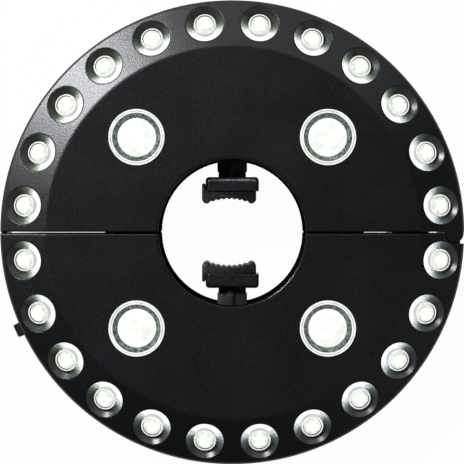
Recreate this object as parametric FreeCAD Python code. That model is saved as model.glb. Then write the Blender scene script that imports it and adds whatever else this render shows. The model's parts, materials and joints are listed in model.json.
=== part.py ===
import FreeCAD, Part
import math
import os

# Patio umbrella light: a flat ring that clamps round an umbrella pole. Lengths in millimetres.
# The pole runs along Z through the origin. The light lies on its back, lamps up, with the
# seam between its two halves along X. The halves are hinged at +X and snap shut at -X.

Vec = FreeCAD.Vector
ORIGIN = Vec(0, 0, 0)
X_AXIS = Vec(1, 0, 0)
Y_AXIS = Vec(0, 1, 0)
Z_AXIS = Vec(0, 0, 1)
UPPER = 1   # the half on the +Y side
LOWER = -1  # the half on the -Y side
FAR = 400.0  # size of a cutting box that reaches past everything

# Clearances
FIT = 0.1      # round a piece that is seated in a hole or pocket
SHAFT_FIT = 0.05  # round a pin, radially
SLIDE = 0.3    # beside a piece that slides or swings

# Housing ring
OUTER_R = 102.5
HEIGHT = 45.0
BORE_R = 32.2
BORE_STEP = 0.2       # the back cover's bore is wider by this
BAND_WIDTH = 20.5     # of the sloping rim band, in plan
BAND_DROP = 7.2       # how far the rim band falls towards the edge
PARTING_Z = 24.0      # the front and back covers meet here
BACK_INSET = 14.5     # the flat back ends this far inside the rim
BACK_SLOPE_Z = 14.0   # the back's slope ends here
WALL = 2.0
EDGE_BEVEL = 0.5      # along the edges of the pole hole
RIM_BEVEL = 0.8       # where the rim band meets the rim
FACE_ROUND = 4.0      # between the flat face and the rim band
SEAM_ROUND = 0.5      # along the front edges of the seam

# Seam between the halves
SEAM_GAP = 0.8
SEAM_WALL = 2.6
TONGUE_REACH = 1.2       # how far a tongue goes into the other half's seam wall
TONGUE_Z = (10.0, HEIGHT - 5.0)

# Rim lamps
RIM_LAMPS_PER_HALF = 12
RIM_LAMP_INSET = 10.1  # of the lamps' centres from the rim
CUP_R = 8.3
CUP_LIP = 0.25        # stands proud of the rim band
CUP_LIP_WIDTH = 0.5
CUP_DEPTH = 4.2
LAMP_R = 4.9
LAMP_LENGTH = 9.0
LAMP_TOP = 0.2

# Spot lamps
SPOT_ANGLES = (45.0, 135.0)
SPOT_R = 59.2
SPOT_FLANGE_R = 12.4
SPOT_FLANGE_HEIGHT = 0.8
SPOT_BODY_R = 10.9
SPOT_DEPTH = 11.0
SPOT_MOUTH_R = 10.4
SPOT_MOUTH_DEPTH = 2.2
SPOT_LENS_R = 8.6
SPOT_LENS_EDGE = 0.6    # the lens's edge stands this far above the foot of the mouth
SPOT_LENS_LENGTH = 7.0
SPOT_DOME = 2.6
SPOT_RINGS = 3
SPOT_CHIP = 3.4
SPOT_CHIP_HEIGHT = 1.0

# Circuit boards
BOARD = 1.6
RIM_BOARD_INSET = 7.5   # of the board's outer edge from the rim
RIM_BOARD_WIDTH = 21.0

# Jaws that grip the pole
JAW_Z = (14.0, 36.0)
JAW_TRAVEL = 8.0
JAW_PLATE_HALF = 11.8
JAW_PLATE_Y = (18.4, 24.6)
JAW_PLATE_ROUND = 1.6
STEM_HALF = 6.6
NECK_HALF = 6.1         # the stem is narrower next to the plate
NECK_END_Y = 27.1
STEM_Z = (19.0, 31.0)
STEM_END_Y = 52.0
STEM_RIB_X = (-1.75, 0.75)
STEM_RIB_HEIGHT = 1.0
EAR_HALF = 9.3
EAR_LENGTH = 3.0
PAD_OFFSET = -1.4
PAD_HALF = 12.0
PAD_FACE_Y = 14.85
PAD_ARC_R = 25.5
PAD_WRAP_Y = 21.8
PAD_ROUND = 2.1
PAD_Z_INSET = 0.6
PAD_GROOVES = 8
PAD_GROOVE_PITCH = 2.35
PAD_GROOVE_R = 0.85
PAD_GROOVE_DEPTH = 0.8
JAW_SPRING_R = 4.0
JAW_SPRING_WIRE = 0.9
JAW_SPRING_TURNS = 5
JAW_SPRING_BENDS = 10   # short straight runs in a turn
JAW_SPRING_LENGTH = 16.0

# Hinge
HINGE_INSET = 4.5       # of the hinge line from the rim
LUG_R = 4.3
LUG_GAP = 0.6
HINGE_PIN_R = 1.5
HINGE_TONGUE_INSET = 11.5   # of the nearest seam tongue from the hinge line
HINGE_TONGUE_LENGTH = 16.0
KNUCKLE_Z = (16.0, PARTING_Z)  # the lower half's knuckle
HINGE_PIN_LOW = 12.0
HINGE_PIN_DROP = 7.0    # of the pin's top end from the face
HINGE_PIN_Z = (HINGE_PIN_LOW, HEIGHT - HINGE_PIN_DROP)

# Snap tongue at the open end of the seam
SNAP_LOW = 15.0
SNAP_DROP = 12.0        # of the tongue's top edge from the face
SNAP_Z = (SNAP_LOW, HEIGHT - SNAP_DROP)
SNAP_THICKNESS = 2.4
SNAP_REACH = 5.0
SNAP_GROOVE_R = 0.8
CATCH_THICKNESS = 0.4
CATCH_HEIGHT = 9.0

# Battery bay, its two cells and its sliding door
BAY_ANGLE = 135.0
CELL_R = 7.1
CELL_LENGTH = 49.2
CELL_NUB_R = 2.7
CELL_NUB = 1.2
CELL_GAP = 0.6
BAY_CENTRE_R = 60.0
BAY_END_ROOM = 3.0      # beyond each end of the cells, for the contacts
BAY_WALL = 1.6
DOOR_THICKNESS = 2.4
DOOR_RECESS = 0.2       # the door's face lies this much above the flat back
DOOR_OVERLAP = 1.6      # the door is larger than the bay by this on each side
DOOR_SEAT = 1.6         # wall above the door
DOOR_TONGUE = 1.0
DOOR_TONGUE_THICKNESS = 1.2
DOOR_GRIP_GROOVES = 5
DOOR_GRIP_PITCH = 2.4
DOOR_GRIP_INSET = 6.0   # of the outermost groove from the edge of the flat back
DOOR_GROOVE = 1.2       # width of a groove; it is half as deep
CONTACT_THICKNESS = 0.4
CONTACT_HALF = 5.0

# Fold-out hanging hook
HOOK_ANGLE = 45.0
HOOK_PIVOT_R = 46.0
HOOK_PIVOT_Z = 2.7
HOOK_EYE_R = 2.2
HOOK_PIN_R = 1.0
HOOK_THICKNESS = 3.6
HOOK_WIDTH = 5.0
HOOK_BEND_R = 7.0       # of the hook's centre line
HOOK_BEND_CENTRE_R = 68.0
HOOK_TIP = 6.0
HOOK_RECESS_DEPTH = 5.3

# Button, switch and control board
BUTTON_ANGLE = 204.6
BUTTON_WIDTH = 6.1
BUTTON_HEIGHT = 9.0
BUTTON_DROP = 2.5       # its top lies this far below the rim lamps' board
BUTTON_PROUD = 4.2
BUTTON_TRAVEL = 1.2
BUTTON_FLANGE = 1.0
SWITCH_BODY = 6.0
SWITCH_DEPTH = 3.6
PLUNGER_R = 1.6
PLUNGER_LENGTH = 1.8
CONTROL_BOARD_WIDTH = 18.0
CONTROL_BOARD_HEIGHT = 10.0

# Screws from the back into posts under the face
SCREW_ANGLES = (20.0, 98.0, 172.0)
SCREW_INSET = 3.0       # of the posts' centres from the face's outer edge
POST_R = 3.8
SCREW_R = 1.5
SCREW_HEAD_R = 2.8
SCREW_HEAD = 2.0
SCREW_SEAT_Z = 14.0
SCREW_TOP_Z = 33.0

FACE_R = OUTER_R - BAND_WIDTH
BACK_R = OUTER_R - BACK_INSET
BAND_SLOPE = math.degrees(math.atan2(BAND_DROP, BAND_WIDTH))
SEAM_Y = SEAM_GAP / 2.0
HINGE_X = OUTER_R - HINGE_INSET
HINGE_TONGUE_X = (HINGE_X - HINGE_TONGUE_INSET - HINGE_TONGUE_LENGTH, HINGE_X - HINGE_TONGUE_INSET)
SEAM_TONGUES = ((-56.0, -30.0), (30.0, 58.0), HINGE_TONGUE_X)  # along X
RIM_LAMP_R = OUTER_R - RIM_LAMP_INSET
NOTCH_R = LUG_R + LUG_GAP
JAW_POCKET_HALF = abs(PAD_OFFSET) + PAD_HALF + 1.0
JAW_POCKET_Y = JAW_PLATE_Y[1] + JAW_TRAVEL + 0.8
CHANNEL_HALF = EAR_HALF + SLIDE
CHANNEL_END_Y = STEM_END_Y + JAW_SPRING_LENGTH
CHANNEL_Z = (STEM_Z[0] - STEM_RIB_HEIGHT - SLIDE, STEM_Z[1] + STEM_RIB_HEIGHT + SLIDE)
CELL_Z = DOOR_RECESS + DOOR_THICKNESS + SLIDE + CELL_R
BAY_HALF_RADIAL = 2.0 * CELL_R + CELL_GAP
BAY_HALF_LENGTH = (CELL_LENGTH + CELL_NUB) / 2.0 + BAY_END_ROOM
BAY_TOP_Z = CELL_Z + CELL_R + CELL_GAP
HOOK_HALF_WIDTH = HOOK_BEND_R + HOOK_WIDTH / 2.0


def box(low, high):
    """Box between two opposite corners."""
    size = [b - a for a, b in zip(low, high)]
    return Part.makeBox(*size, Vec(*low))


def cylinder(radius, z_low, z_high, x=0.0, y=0.0):
    """Cylinder along Z."""
    return Part.makeCylinder(radius, z_high - z_low, Vec(x, y, z_low))


def turned(shape, angle, centre=ORIGIN, axis=Z_AXIS):
    """Copy of the shape, turned about an axis."""
    copy = shape.copy()
    copy.rotate(centre, axis, angle)
    return copy


def moved(shape, x, y, z):
    """Copy of the shape, moved."""
    copy = shape.copy()
    copy.translate(Vec(x, y, z))
    return copy


def polar(radius, angle):
    """X and Y of a place given by its radius and angle."""
    return radius * math.cos(math.radians(angle)), radius * math.sin(math.radians(angle))


def rounded_face(corners):
    """Face in the XZ plane through (x, z, rounding) corners."""
    points = [Vec(corner[0], 0, corner[1]) for corner in corners]
    ends = []
    edges = []
    for i, corner in enumerate(corners):
        before = (points[i - 1] - points[i]).normalize()
        after = (points[(i + 1) % len(points)] - points[i]).normalize()
        rounding = corner[2] if len(corner) > 2 else 0.0
        if rounding <= 0.0:
            ends.append((points[i], points[i]))
            continue
        half = before.getAngle(after) / 2.0
        middle = (before + after).normalize()
        centre = points[i] + middle * (rounding / math.sin(half))
        setback = rounding / math.tan(half)
        start = points[i] + before * setback
        stop = points[i] + after * setback
        edges.append(Part.Arc(start, centre - middle * rounding, stop).toShape())
        ends.append((start, stop))
    for i in range(len(points)):
        start, stop = ends[i][1], ends[(i + 1) % len(points)][0]
        if start.distanceToPoint(stop) > 1e-6:
            edges.append(Part.makeLine(start, stop))
    return Part.Face(Part.Wire(Part.__sortEdges__(edges)))


def revolved(corners):
    """Solid turned from a section through (radius, height, rounding) corners."""
    return rounded_face(corners).revolve(ORIGIN, Z_AXIS, 360)


def inset(corners, distance):
    """Section corners moved inwards by a wall; the corners run anticlockwise in (x, z)."""
    result = []
    for i, corner in enumerate(corners):
        previous, following = corners[i - 1], corners[(i + 1) % len(corners)]
        normals = []
        for a, b in ((previous, corner), (corner, following)):
            length = math.hypot(b[0] - a[0], b[1] - a[1])
            normals.append(((a[1] - b[1]) / length, (b[0] - a[0]) / length))
        (ax, az), (bx, bz) = normals
        scale = distance / (1.0 + ax * bx + az * bz)
        result.append((corner[0] + (ax + bx) * scale, corner[1] + (az + bz) * scale))
    return result


def cut_all(shape, tools):
    """Shape with every tool cut away."""
    return shape.cut(tools).removeSplitter()


def half_space(side, y):
    """Everything on one side of the seam, from distance y outwards."""
    low, high = (y, FAR) if side == UPPER else (-FAR, -y)
    return box((-FAR, low, -FAR), (FAR, high, FAR))


def half_turn(side):
    """Angle that carries a feature of the upper half to its place on this half."""
    return 0.0 if side == UPPER else 180.0


def band_height(radius):
    """Height of the sloping rim band at a radius."""
    return HEIGHT - (radius - FACE_R) * BAND_DROP / BAND_WIDTH


def on_band(shape, angle):
    """A piece made about Z from height 0, set square on the rim band at an angle."""
    tilted = turned(shape, BAND_SLOPE, axis=Y_AXIS)
    return turned(moved(tilted, RIM_LAMP_R, 0, band_height(RIM_LAMP_R)), angle)


def rim_lamp_angles(side):
    """Angles of one half's rim lamps, spaced evenly round the ring."""
    step = 180.0 / RIM_LAMPS_PER_HALF
    return [half_turn(side) + (i + 0.5) * step for i in range(RIM_LAMPS_PER_HALF)]


def spot_angles(side):
    """Angles of one half's spot lamps."""
    return [angle + half_turn(side) for angle in SPOT_ANGLES]


# Housing -------------------------------------------------------------------------------

def cavity_corners():
    """Section of the space inside the ring's walls, anticlockwise."""
    return inset([
        (BORE_R + BORE_STEP, 0.0),
        (BACK_R, 0.0),
        (OUTER_R, BACK_SLOPE_Z),
        (OUTER_R, HEIGHT - BAND_DROP),
        (FACE_R, HEIGHT),
        (BORE_R + BORE_STEP, HEIGHT),
    ], WALL)


def envelope_corners():
    """Outer section of the closed ring, anticlockwise, with its bevels and the rounded face edge."""
    back_bore = BORE_R + BORE_STEP
    return [
        (back_bore + EDGE_BEVEL, 0.0),
        (BACK_R, 0.0),
        (OUTER_R, BACK_SLOPE_Z),
        (OUTER_R, HEIGHT - BAND_DROP - RIM_BEVEL),
        (OUTER_R - RIM_BEVEL, band_height(OUTER_R - RIM_BEVEL)),
        (FACE_R, HEIGHT, FACE_ROUND),
        (BORE_R + EDGE_BEVEL, HEIGHT),
        (BORE_R, HEIGHT - EDGE_BEVEL),
        (BORE_R, PARTING_Z),
        (back_bore, PARTING_Z),
        (back_bore, EDGE_BEVEL),
    ]


def hinge_relief(side, radius):
    """Space round the hinge line, out to the rim, on one side of the seam."""
    low, high = (0.0, radius) if side == UPPER else (-radius, 0.0)
    round_part = cylinder(radius, -1.0, HEIGHT + 1.0, HINGE_X, 0.0)
    rim_part = box((HINGE_X, low, -1.0), (OUTER_R + radius, high, HEIGHT + 1.0))
    return round_part.fuse(rim_part)


def jaw_housing_block():
    """Material round the upper jaw's pocket and channel."""
    pocket = box(
        (-JAW_POCKET_HALF - WALL, BORE_R / 2.0, JAW_Z[0] - SLIDE - WALL),
        (JAW_POCKET_HALF + WALL, JAW_POCKET_Y + WALL, JAW_Z[1] + SLIDE + WALL),
    )
    channel = box(
        (-CHANNEL_HALF - WALL, BORE_R, 0.0),
        (CHANNEL_HALF + WALL, CHANNEL_END_Y + WALL, HEIGHT),
    )
    return [pocket, channel]


def jaw_housing_cuts():
    """Pocket for the upper jaw, slot for its stem and channel for its ears and spring."""
    pocket = box(
        (-JAW_POCKET_HALF, 0.0, JAW_Z[0] - SLIDE),
        (JAW_POCKET_HALF, JAW_POCKET_Y, JAW_Z[1] + SLIDE),
    )
    slot = box(
        (-STEM_HALF - SLIDE, BORE_R / 2.0, CHANNEL_Z[0]),
        (STEM_HALF + SLIDE, JAW_POCKET_Y + 2.0 * WALL, CHANNEL_Z[1]),
    )
    channel = box(
        (-CHANNEL_HALF, JAW_POCKET_Y + WALL, CHANNEL_Z[0]),
        (CHANNEL_HALF, CHANNEL_END_Y, CHANNEL_Z[1]),
    )
    return [pocket, slot, channel]


def bay_box(extra, z_low, z_high):
    """Box over the battery bay, larger by extra on every side, before it is turned."""
    radial = BAY_HALF_RADIAL + extra
    length = BAY_HALF_LENGTH + extra
    return box((BAY_CENTRE_R - radial, -length, z_low), (BAY_CENTRE_R + radial, length, z_high))


def door_blank(gap):
    """Door with its side tongues, from the bay's inner edge out past the rim."""
    inner = BAY_CENTRE_R - BAY_HALF_RADIAL - DOOR_OVERLAP - gap
    half = BAY_HALF_LENGTH + DOOR_OVERLAP + gap
    bottom = DOOR_RECESS if gap == 0.0 else -1.0
    top = DOOR_RECESS + DOOR_THICKNESS + gap
    tongue_bottom = DOOR_RECESS + DOOR_THICKNESS - DOOR_TONGUE_THICKNESS - gap
    plate = box((inner, -half, bottom), (FAR, half, top))
    tongues = box((inner, -half - DOOR_TONGUE, tongue_bottom), (FAR, half + DOOR_TONGUE, top))
    return plate.fuse(tongues).removeSplitter()


def door_seat():
    """Wall that the door slides under, before it is turned."""
    extra = DOOR_OVERLAP + DOOR_TONGUE + WALL
    inner = BAY_CENTRE_R - BAY_HALF_RADIAL - extra
    half = BAY_HALF_LENGTH + extra
    return box((inner, -half, 0.0), (OUTER_R, half, DOOR_RECESS + DOOR_THICKNESS + SLIDE + DOOR_SEAT))


def hook_recess():
    """Space in the back for the folded hook, before it is turned."""
    inner = HOOK_PIVOT_R - HOOK_EYE_R - 2.0 * SLIDE
    outer = HOOK_BEND_CENTRE_R + HOOK_HALF_WIDTH + 2.0
    half = HOOK_HALF_WIDTH + 1.0
    return inner, outer, half


def screw_places(side):
    """X and Y of one half's screws."""
    return [polar(FACE_R - SCREW_INSET, angle + half_turn(side)) for angle in SCREW_ANGLES]


def snap_tongue():
    """Snap tongue in the thickness of the lower half's rim, across the seam at -X, with its groove."""
    inner_x = -OUTER_R + SNAP_THICKNESS
    groove_y = SEAM_Y + SNAP_REACH / 2.0
    tongue = box((-OUTER_R, -SEAM_Y - SEAM_WALL, SNAP_Z[0]), (inner_x, SEAM_Y + SNAP_REACH, SNAP_Z[1]))
    return tongue.cut(cylinder(SNAP_GROOVE_R, SNAP_Z[0] - 1.0, SNAP_Z[1] + 1.0, inner_x, groove_y))


def snap_pocket():
    """Room in the upper half's rim for the snap tongue and its catch spring."""
    inner_x = -OUTER_R + SNAP_THICKNESS + SLIDE + CATCH_THICKNESS + FIT
    top_y = SEAM_Y + SNAP_REACH + SLIDE
    return box((-OUTER_R - WALL, 0.0, SNAP_Z[0] - SLIDE), (inner_x, top_y, SNAP_Z[1] + SLIDE))


def button_levels():
    """Heights of the button's lower and upper edge."""
    top = rim_board_top() - BOARD - BUTTON_DROP
    return top - BUTTON_HEIGHT, top


def button_block():
    """Wall that guides the button behind the rim, before it is turned."""
    half = BUTTON_WIDTH / 2.0 + BUTTON_FLANGE + WALL
    low, high = button_levels()
    return box((OUTER_R - 3.0 * WALL, -half, low - WALL), (OUTER_R, half, high + WALL))


def button_cuts():
    """Hole for the button and room for its flange, before they are turned."""
    half = BUTTON_WIDTH / 2.0 + SLIDE
    flange_half = half + BUTTON_FLANGE
    low, high = button_levels()
    inner_x = OUTER_R - 4.0 * WALL
    hole = box((inner_x, -half, low - SLIDE), (OUTER_R + 1.0, half, high + SLIDE))
    room = box((inner_x, -flange_half, low - SLIDE), (OUTER_R - WALL, flange_half, high + SLIDE))
    return [hole, room]


def housing_blocks(side):
    """Walls, posts and seats inside one half."""
    turn = half_turn(side)
    blocks = [turned(block, turn) for block in jaw_housing_block()]
    blocks.append(turned(bay_box(BAY_WALL, 0.0, BAY_TOP_Z + BAY_WALL), BAY_ANGLE + turn))
    blocks.append(turned(door_seat(), BAY_ANGLE + turn))
    inner, outer, half = hook_recess()
    recess_wall = box(
        (inner - WALL, -half - WALL, 0.0),
        (outer + WALL, half + WALL, HOOK_RECESS_DEPTH + WALL),
    )
    blocks.append(turned(recess_wall, HOOK_ANGLE + turn))
    blocks += [cylinder(POST_R, 0.0, HEIGHT, x, y) for x, y in screw_places(side)]
    blocks.append(hinge_relief(side, NOTCH_R + WALL))
    if side == UPPER:
        inner_x = -OUTER_R + SNAP_THICKNESS + 2.0 * WALL
        top_y = SEAM_Y + SNAP_REACH + SLIDE + WALL
        extra = SLIDE + WALL
        blocks.append(box((-OUTER_R, 0.0, SNAP_Z[0] - extra), (inner_x, top_y, SNAP_Z[1] + extra)))
    else:
        blocks.append(turned(button_block(), BUTTON_ANGLE))
    return blocks


def housing_cuts(side):
    """Everything cut out of one half."""
    turn = half_turn(side)
    cuts = [turned(cut, turn) for cut in jaw_housing_cuts()]
    cuts.append(turned(bay_box(0.0, -1.0, BAY_TOP_Z), BAY_ANGLE + turn))
    cuts.append(turned(door_blank(SLIDE), BAY_ANGLE + turn))
    inner, outer, half = hook_recess()
    cuts.append(turned(box((inner, -half, -1.0), (outer, half, HOOK_RECESS_DEPTH)), HOOK_ANGLE + turn))
    pin_hole = Part.makeCylinder(
        HOOK_PIN_R + SHAFT_FIT, 2.0 * (half + WALL / 2.0),
        Vec(HOOK_PIVOT_R, -half - WALL / 2.0, HOOK_PIVOT_Z), Y_AXIS,
    )
    cuts.append(turned(pin_hole, HOOK_ANGLE + turn))
    for x, y in screw_places(side):
        cuts.append(cylinder(SCREW_HEAD_R + SLIDE, -1.0, SCREW_SEAT_Z, x, y))
        cuts.append(cylinder(SCREW_R + SHAFT_FIT, SCREW_SEAT_Z, SCREW_TOP_Z + 1.0, x, y))
    for angle in spot_angles(side):
        x, y = polar(SPOT_R, angle)
        cuts.append(cylinder(SPOT_BODY_R + FIT, HEIGHT - 2.0 * WALL, HEIGHT + 1.0, x, y))
    cup_hole = cylinder(CUP_R + FIT, -CUP_DEPTH - FIT, WALL)
    cuts += [on_band(cup_hole, angle) for angle in rim_lamp_angles(side)]
    if side == UPPER:
        cuts.append(snap_pocket())
        for low, high in SEAM_TONGUES:
            cuts.append(box(
                (low - SLIDE, 0.0, TONGUE_Z[0] - SLIDE),
                (high + SLIDE, SEAM_Y + TONGUE_REACH + SLIDE, TONGUE_Z[1] + SLIDE),
            ))
    else:
        cuts += [turned(cut, BUTTON_ANGLE) for cut in button_cuts()]
    return cuts


def hinge_lug(low, high):
    """One knuckle on the hinge line."""
    return cylinder(LUG_R, low, high, HINGE_X, 0.0)


def add_hinge(half, side, ring):
    """One half with room for the other's knuckles and with its own."""
    other_levels = [(KNUCKLE_Z[0], KNUCKLE_Z[1])]
    own_levels = [(-1.0, KNUCKLE_Z[0] - SLIDE / 2.0), (KNUCKLE_Z[1] + SLIDE / 2.0, HEIGHT)]
    if side == LOWER:
        other_levels = [(-1.0, KNUCKLE_Z[0]), (KNUCKLE_Z[1], HEIGHT + 1.0)]
        own_levels = [(KNUCKLE_Z[0] + SLIDE / 2.0, KNUCKLE_Z[1] - SLIDE / 2.0)]
    relief = hinge_relief(side, NOTCH_R)
    for low, high in other_levels:
        half = half.cut(relief.common(box((0, -FAR, low), (FAR, FAR, high))))
    for low, high in own_levels:
        half = half.fuse(hinge_lug(low, high).common(ring))
    pin_hole = cylinder(HINGE_PIN_R + SHAFT_FIT, HINGE_PIN_Z[0], HINGE_PIN_Z[1], HINGE_X, 0.0)
    return half.cut(pin_hole).removeSplitter()


def ring_half(side, ring):
    """One half of the closed ring, with the front edges of its seam rounded."""
    outer = ring.common(half_space(side, SEAM_Y))
    edges = []
    for edge in outer.Edges:
        reach = edge.BoundBox
        on_seam = abs(abs(reach.Center.y) - SEAM_Y) < 1e-4 and reach.YLength < 1e-4
        if on_seam and reach.ZMin > band_height(OUTER_R) and reach.XLength > EDGE_BEVEL + 1e-3:
            edges.append(edge)
    return outer.makeFillet(SEAM_ROUND, edges)


def housing_half(side):
    """Front and back cover of one half."""
    ring = revolved(envelope_corners())
    outer = ring_half(side, ring)
    cavity = revolved(cavity_corners()).common(half_space(side, SEAM_Y + SEAM_WALL))
    half = outer.cut(cavity).fuse([block.common(outer) for block in housing_blocks(side)])
    half = half.cut(housing_cuts(side))
    if side == LOWER:
        tongues = [
            box((low, -SEAM_Y - WALL, TONGUE_Z[0]), (high, SEAM_Y + TONGUE_REACH, TONGUE_Z[1]))
            for low, high in SEAM_TONGUES
        ]
        tongues.append(snap_tongue())
        half = half.fuse([tongue.common(ring) for tongue in tongues])
    half = add_hinge(half, side, ring)
    front = half.common(box((-FAR, -FAR, PARTING_Z), (FAR, FAR, FAR)))
    back = half.common(box((-FAR, -FAR, -FAR), (FAR, FAR, PARTING_Z)))
    return front.removeSplitter(), back.removeSplitter()


# Lamps -----------------------------------------------------------------------------------

def rim_reflectors(side):
    """Reflector cups of one half's rim lamps."""
    cup = revolved([
        (LAMP_R + FIT, -CUP_DEPTH),
        (CUP_R, -CUP_DEPTH),
        (CUP_R, CUP_LIP),
        (CUP_R - CUP_LIP_WIDTH, CUP_LIP),
    ])
    return [on_band(cup, angle) for angle in rim_lamp_angles(side)]


def rim_lamps(side):
    """Lamp barrels that stand in the cups and reach down to the board."""
    lamp = cylinder(LAMP_R, -LAMP_LENGTH, LAMP_TOP)
    return [on_band(lamp, angle) for angle in rim_lamp_angles(side)]


def at_spots(shape, side):
    """Copies of a piece at one half's spot lamps."""
    return [moved(shape, *polar(SPOT_R, angle), 0.0) for angle in spot_angles(side)]


def spot_reflectors(side):
    """Bright flange ring, dark mouth and straight barrel of each spot lamp."""
    top = HEIGHT + SPOT_FLANGE_HEIGHT
    bevel = SPOT_FLANGE_HEIGHT / 2.0
    bottom = HEIGHT - SPOT_DEPTH
    reflector = revolved([
        (SPOT_LENS_R + FIT, bottom),
        (SPOT_BODY_R, bottom),
        (SPOT_BODY_R, HEIGHT),
        (SPOT_FLANGE_R, HEIGHT),
        (SPOT_FLANGE_R, top - bevel),
        (SPOT_FLANGE_R - bevel, top),
        (SPOT_MOUTH_R, top),
        (SPOT_LENS_R + FIT, HEIGHT - SPOT_MOUTH_DEPTH),
    ])
    return at_spots(reflector, side)


def spot_lenses(side):
    """Clear lenses whose domed top rises in concentric rings."""
    edge_z = HEIGHT - SPOT_MOUTH_DEPTH + SPOT_LENS_EDGE
    section = [(0.0, edge_z - SPOT_LENS_LENGTH), (SPOT_LENS_R, edge_z - SPOT_LENS_LENGTH)]
    for i in range(SPOT_RINGS + 1):
        share = i / (SPOT_RINGS + 0.5)
        section.append((SPOT_LENS_R * (1.0 - share), edge_z + SPOT_DOME * (1.0 - (1.0 - share) ** 2)))
    section.append((0.0, section[-1][1]))
    return at_spots(revolved(section), side)


def spot_boards(side):
    """Round board with its lamp chip under each spot reflector."""
    top = HEIGHT - SPOT_DEPTH
    board = cylinder(SPOT_BODY_R, top - BOARD, top)
    half = SPOT_CHIP / 2.0
    chip = box((-half, -half, top), (half, half, top + SPOT_CHIP_HEIGHT))
    return at_spots(board.fuse(chip).removeSplitter(), side)


def rim_board_top():
    """Height just under the lowest corner of the tilted lamps."""
    slope = math.radians(BAND_SLOPE)
    lamp_low = band_height(RIM_LAMP_R) - LAMP_LENGTH * math.cos(slope) - LAMP_R * math.sin(slope)
    return lamp_low - FIT


def rim_board(side):
    """Half-ring circuit board under the rim lamps, located on the screw posts."""
    z_low, z_high = rim_board_top() - BOARD, rim_board_top()
    outer_r = OUTER_R - RIM_BOARD_INSET
    ring = cylinder(outer_r, z_low, z_high).cut(cylinder(outer_r - RIM_BOARD_WIDTH, z_low, z_high))
    board = ring.common(half_space(side, SEAM_Y + SEAM_WALL + SLIDE))
    channel_half = CHANNEL_HALF + WALL + FIT
    channel = box((-channel_half, 0.0, 0.0), (channel_half, CHANNEL_END_Y + WALL + FIT, HEIGHT))
    cuts = [hinge_relief(side, NOTCH_R + WALL + SLIDE), turned(channel, half_turn(side))]
    cuts += [cylinder(POST_R + FIT, 0.0, HEIGHT, x, y) for x, y in screw_places(side)]
    return cut_all(board, cuts)


# Jaws ------------------------------------------------------------------------------------

def jaw_slider():
    """Upper jaw's back plate, stem with ribs, stop ears and spring seat."""
    plate = box((-JAW_PLATE_HALF, JAW_PLATE_Y[0], JAW_Z[0]), (JAW_PLATE_HALF, JAW_PLATE_Y[1], JAW_Z[1]))
    corners = [
        edge for edge in plate.Edges
        if abs(edge.tangentAt(edge.FirstParameter).z) > 0.9 and edge.CenterOfMass.y > JAW_PLATE_Y[0] + 1.0
    ]
    plate = plate.makeFillet(JAW_PLATE_ROUND, corners)
    neck = box((-NECK_HALF, JAW_PLATE_Y[1] - 1.0, STEM_Z[0]), (NECK_HALF, NECK_END_Y, STEM_Z[1]))
    stem = box((-STEM_HALF, NECK_END_Y, STEM_Z[0]), (STEM_HALF, STEM_END_Y, STEM_Z[1]))
    rib = box(
        (STEM_RIB_X[0], JAW_PLATE_Y[1] - 1.0, STEM_Z[0] - STEM_RIB_HEIGHT),
        (STEM_RIB_X[1], STEM_END_Y, STEM_Z[1] + STEM_RIB_HEIGHT),
    )
    ear_y = JAW_POCKET_Y + WALL + SLIDE
    ears = box((-EAR_HALF, ear_y, STEM_Z[0]), (EAR_HALF, ear_y + EAR_LENGTH, STEM_Z[1]))
    return plate.fuse([neck, stem, rib, ears]).removeSplitter()


def jaw_pad():
    """Upper jaw's rubber pad: concave face with ridges, wrapped round one end of the plate."""
    left, right = PAD_OFFSET - PAD_HALF, PAD_OFFSET + PAD_HALF
    z_low, z_high = JAW_Z[0] + PAD_Z_INSET, JAW_Z[1] - PAD_Z_INSET
    arc_centre_y = PAD_FACE_Y - PAD_ARC_R
    pad = box((left, arc_centre_y + PAD_ARC_R / 2.0, z_low), (right, JAW_PLATE_Y[0], z_high))
    wrap = box((left, JAW_PLATE_Y[0] - 1.0, z_low), (-JAW_PLATE_HALF - FIT, PAD_WRAP_Y, z_high))
    pad = pad.fuse(wrap).removeSplitter()
    pad = pad.cut(cylinder(PAD_ARC_R, z_low - 1.0, z_high + 1.0, PAD_OFFSET, arc_centre_y))
    trim_y = arc_centre_y + math.sqrt(PAD_ARC_R ** 2 - (PAD_HALF - PAD_ROUND) ** 2)
    pad = pad.cut(box((-FAR, -FAR, -FAR), (FAR, trim_y, FAR)))
    corners = []
    for edge in pad.Edges:
        centre = edge.CenterOfMass
        if abs(centre.y - trim_y) < 1e-4 and abs(abs(centre.x - PAD_OFFSET) - PAD_HALF) < 1e-4:
            corners.append(edge)
    pad = pad.makeFillet(PAD_ROUND - FIT, corners)
    grooves = []
    step = math.degrees(PAD_GROOVE_PITCH / PAD_ARC_R)
    groove_radius = PAD_ARC_R + PAD_GROOVE_DEPTH - PAD_GROOVE_R
    for i in range(PAD_GROOVES):
        x, y = polar(groove_radius, 90.0 + (i - (PAD_GROOVES - 1) / 2.0) * step)
        grooves.append(cylinder(PAD_GROOVE_R, z_low - 1.0, z_high + 1.0, PAD_OFFSET + x, arc_centre_y + y))
    return cut_all(pad, grooves)


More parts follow.
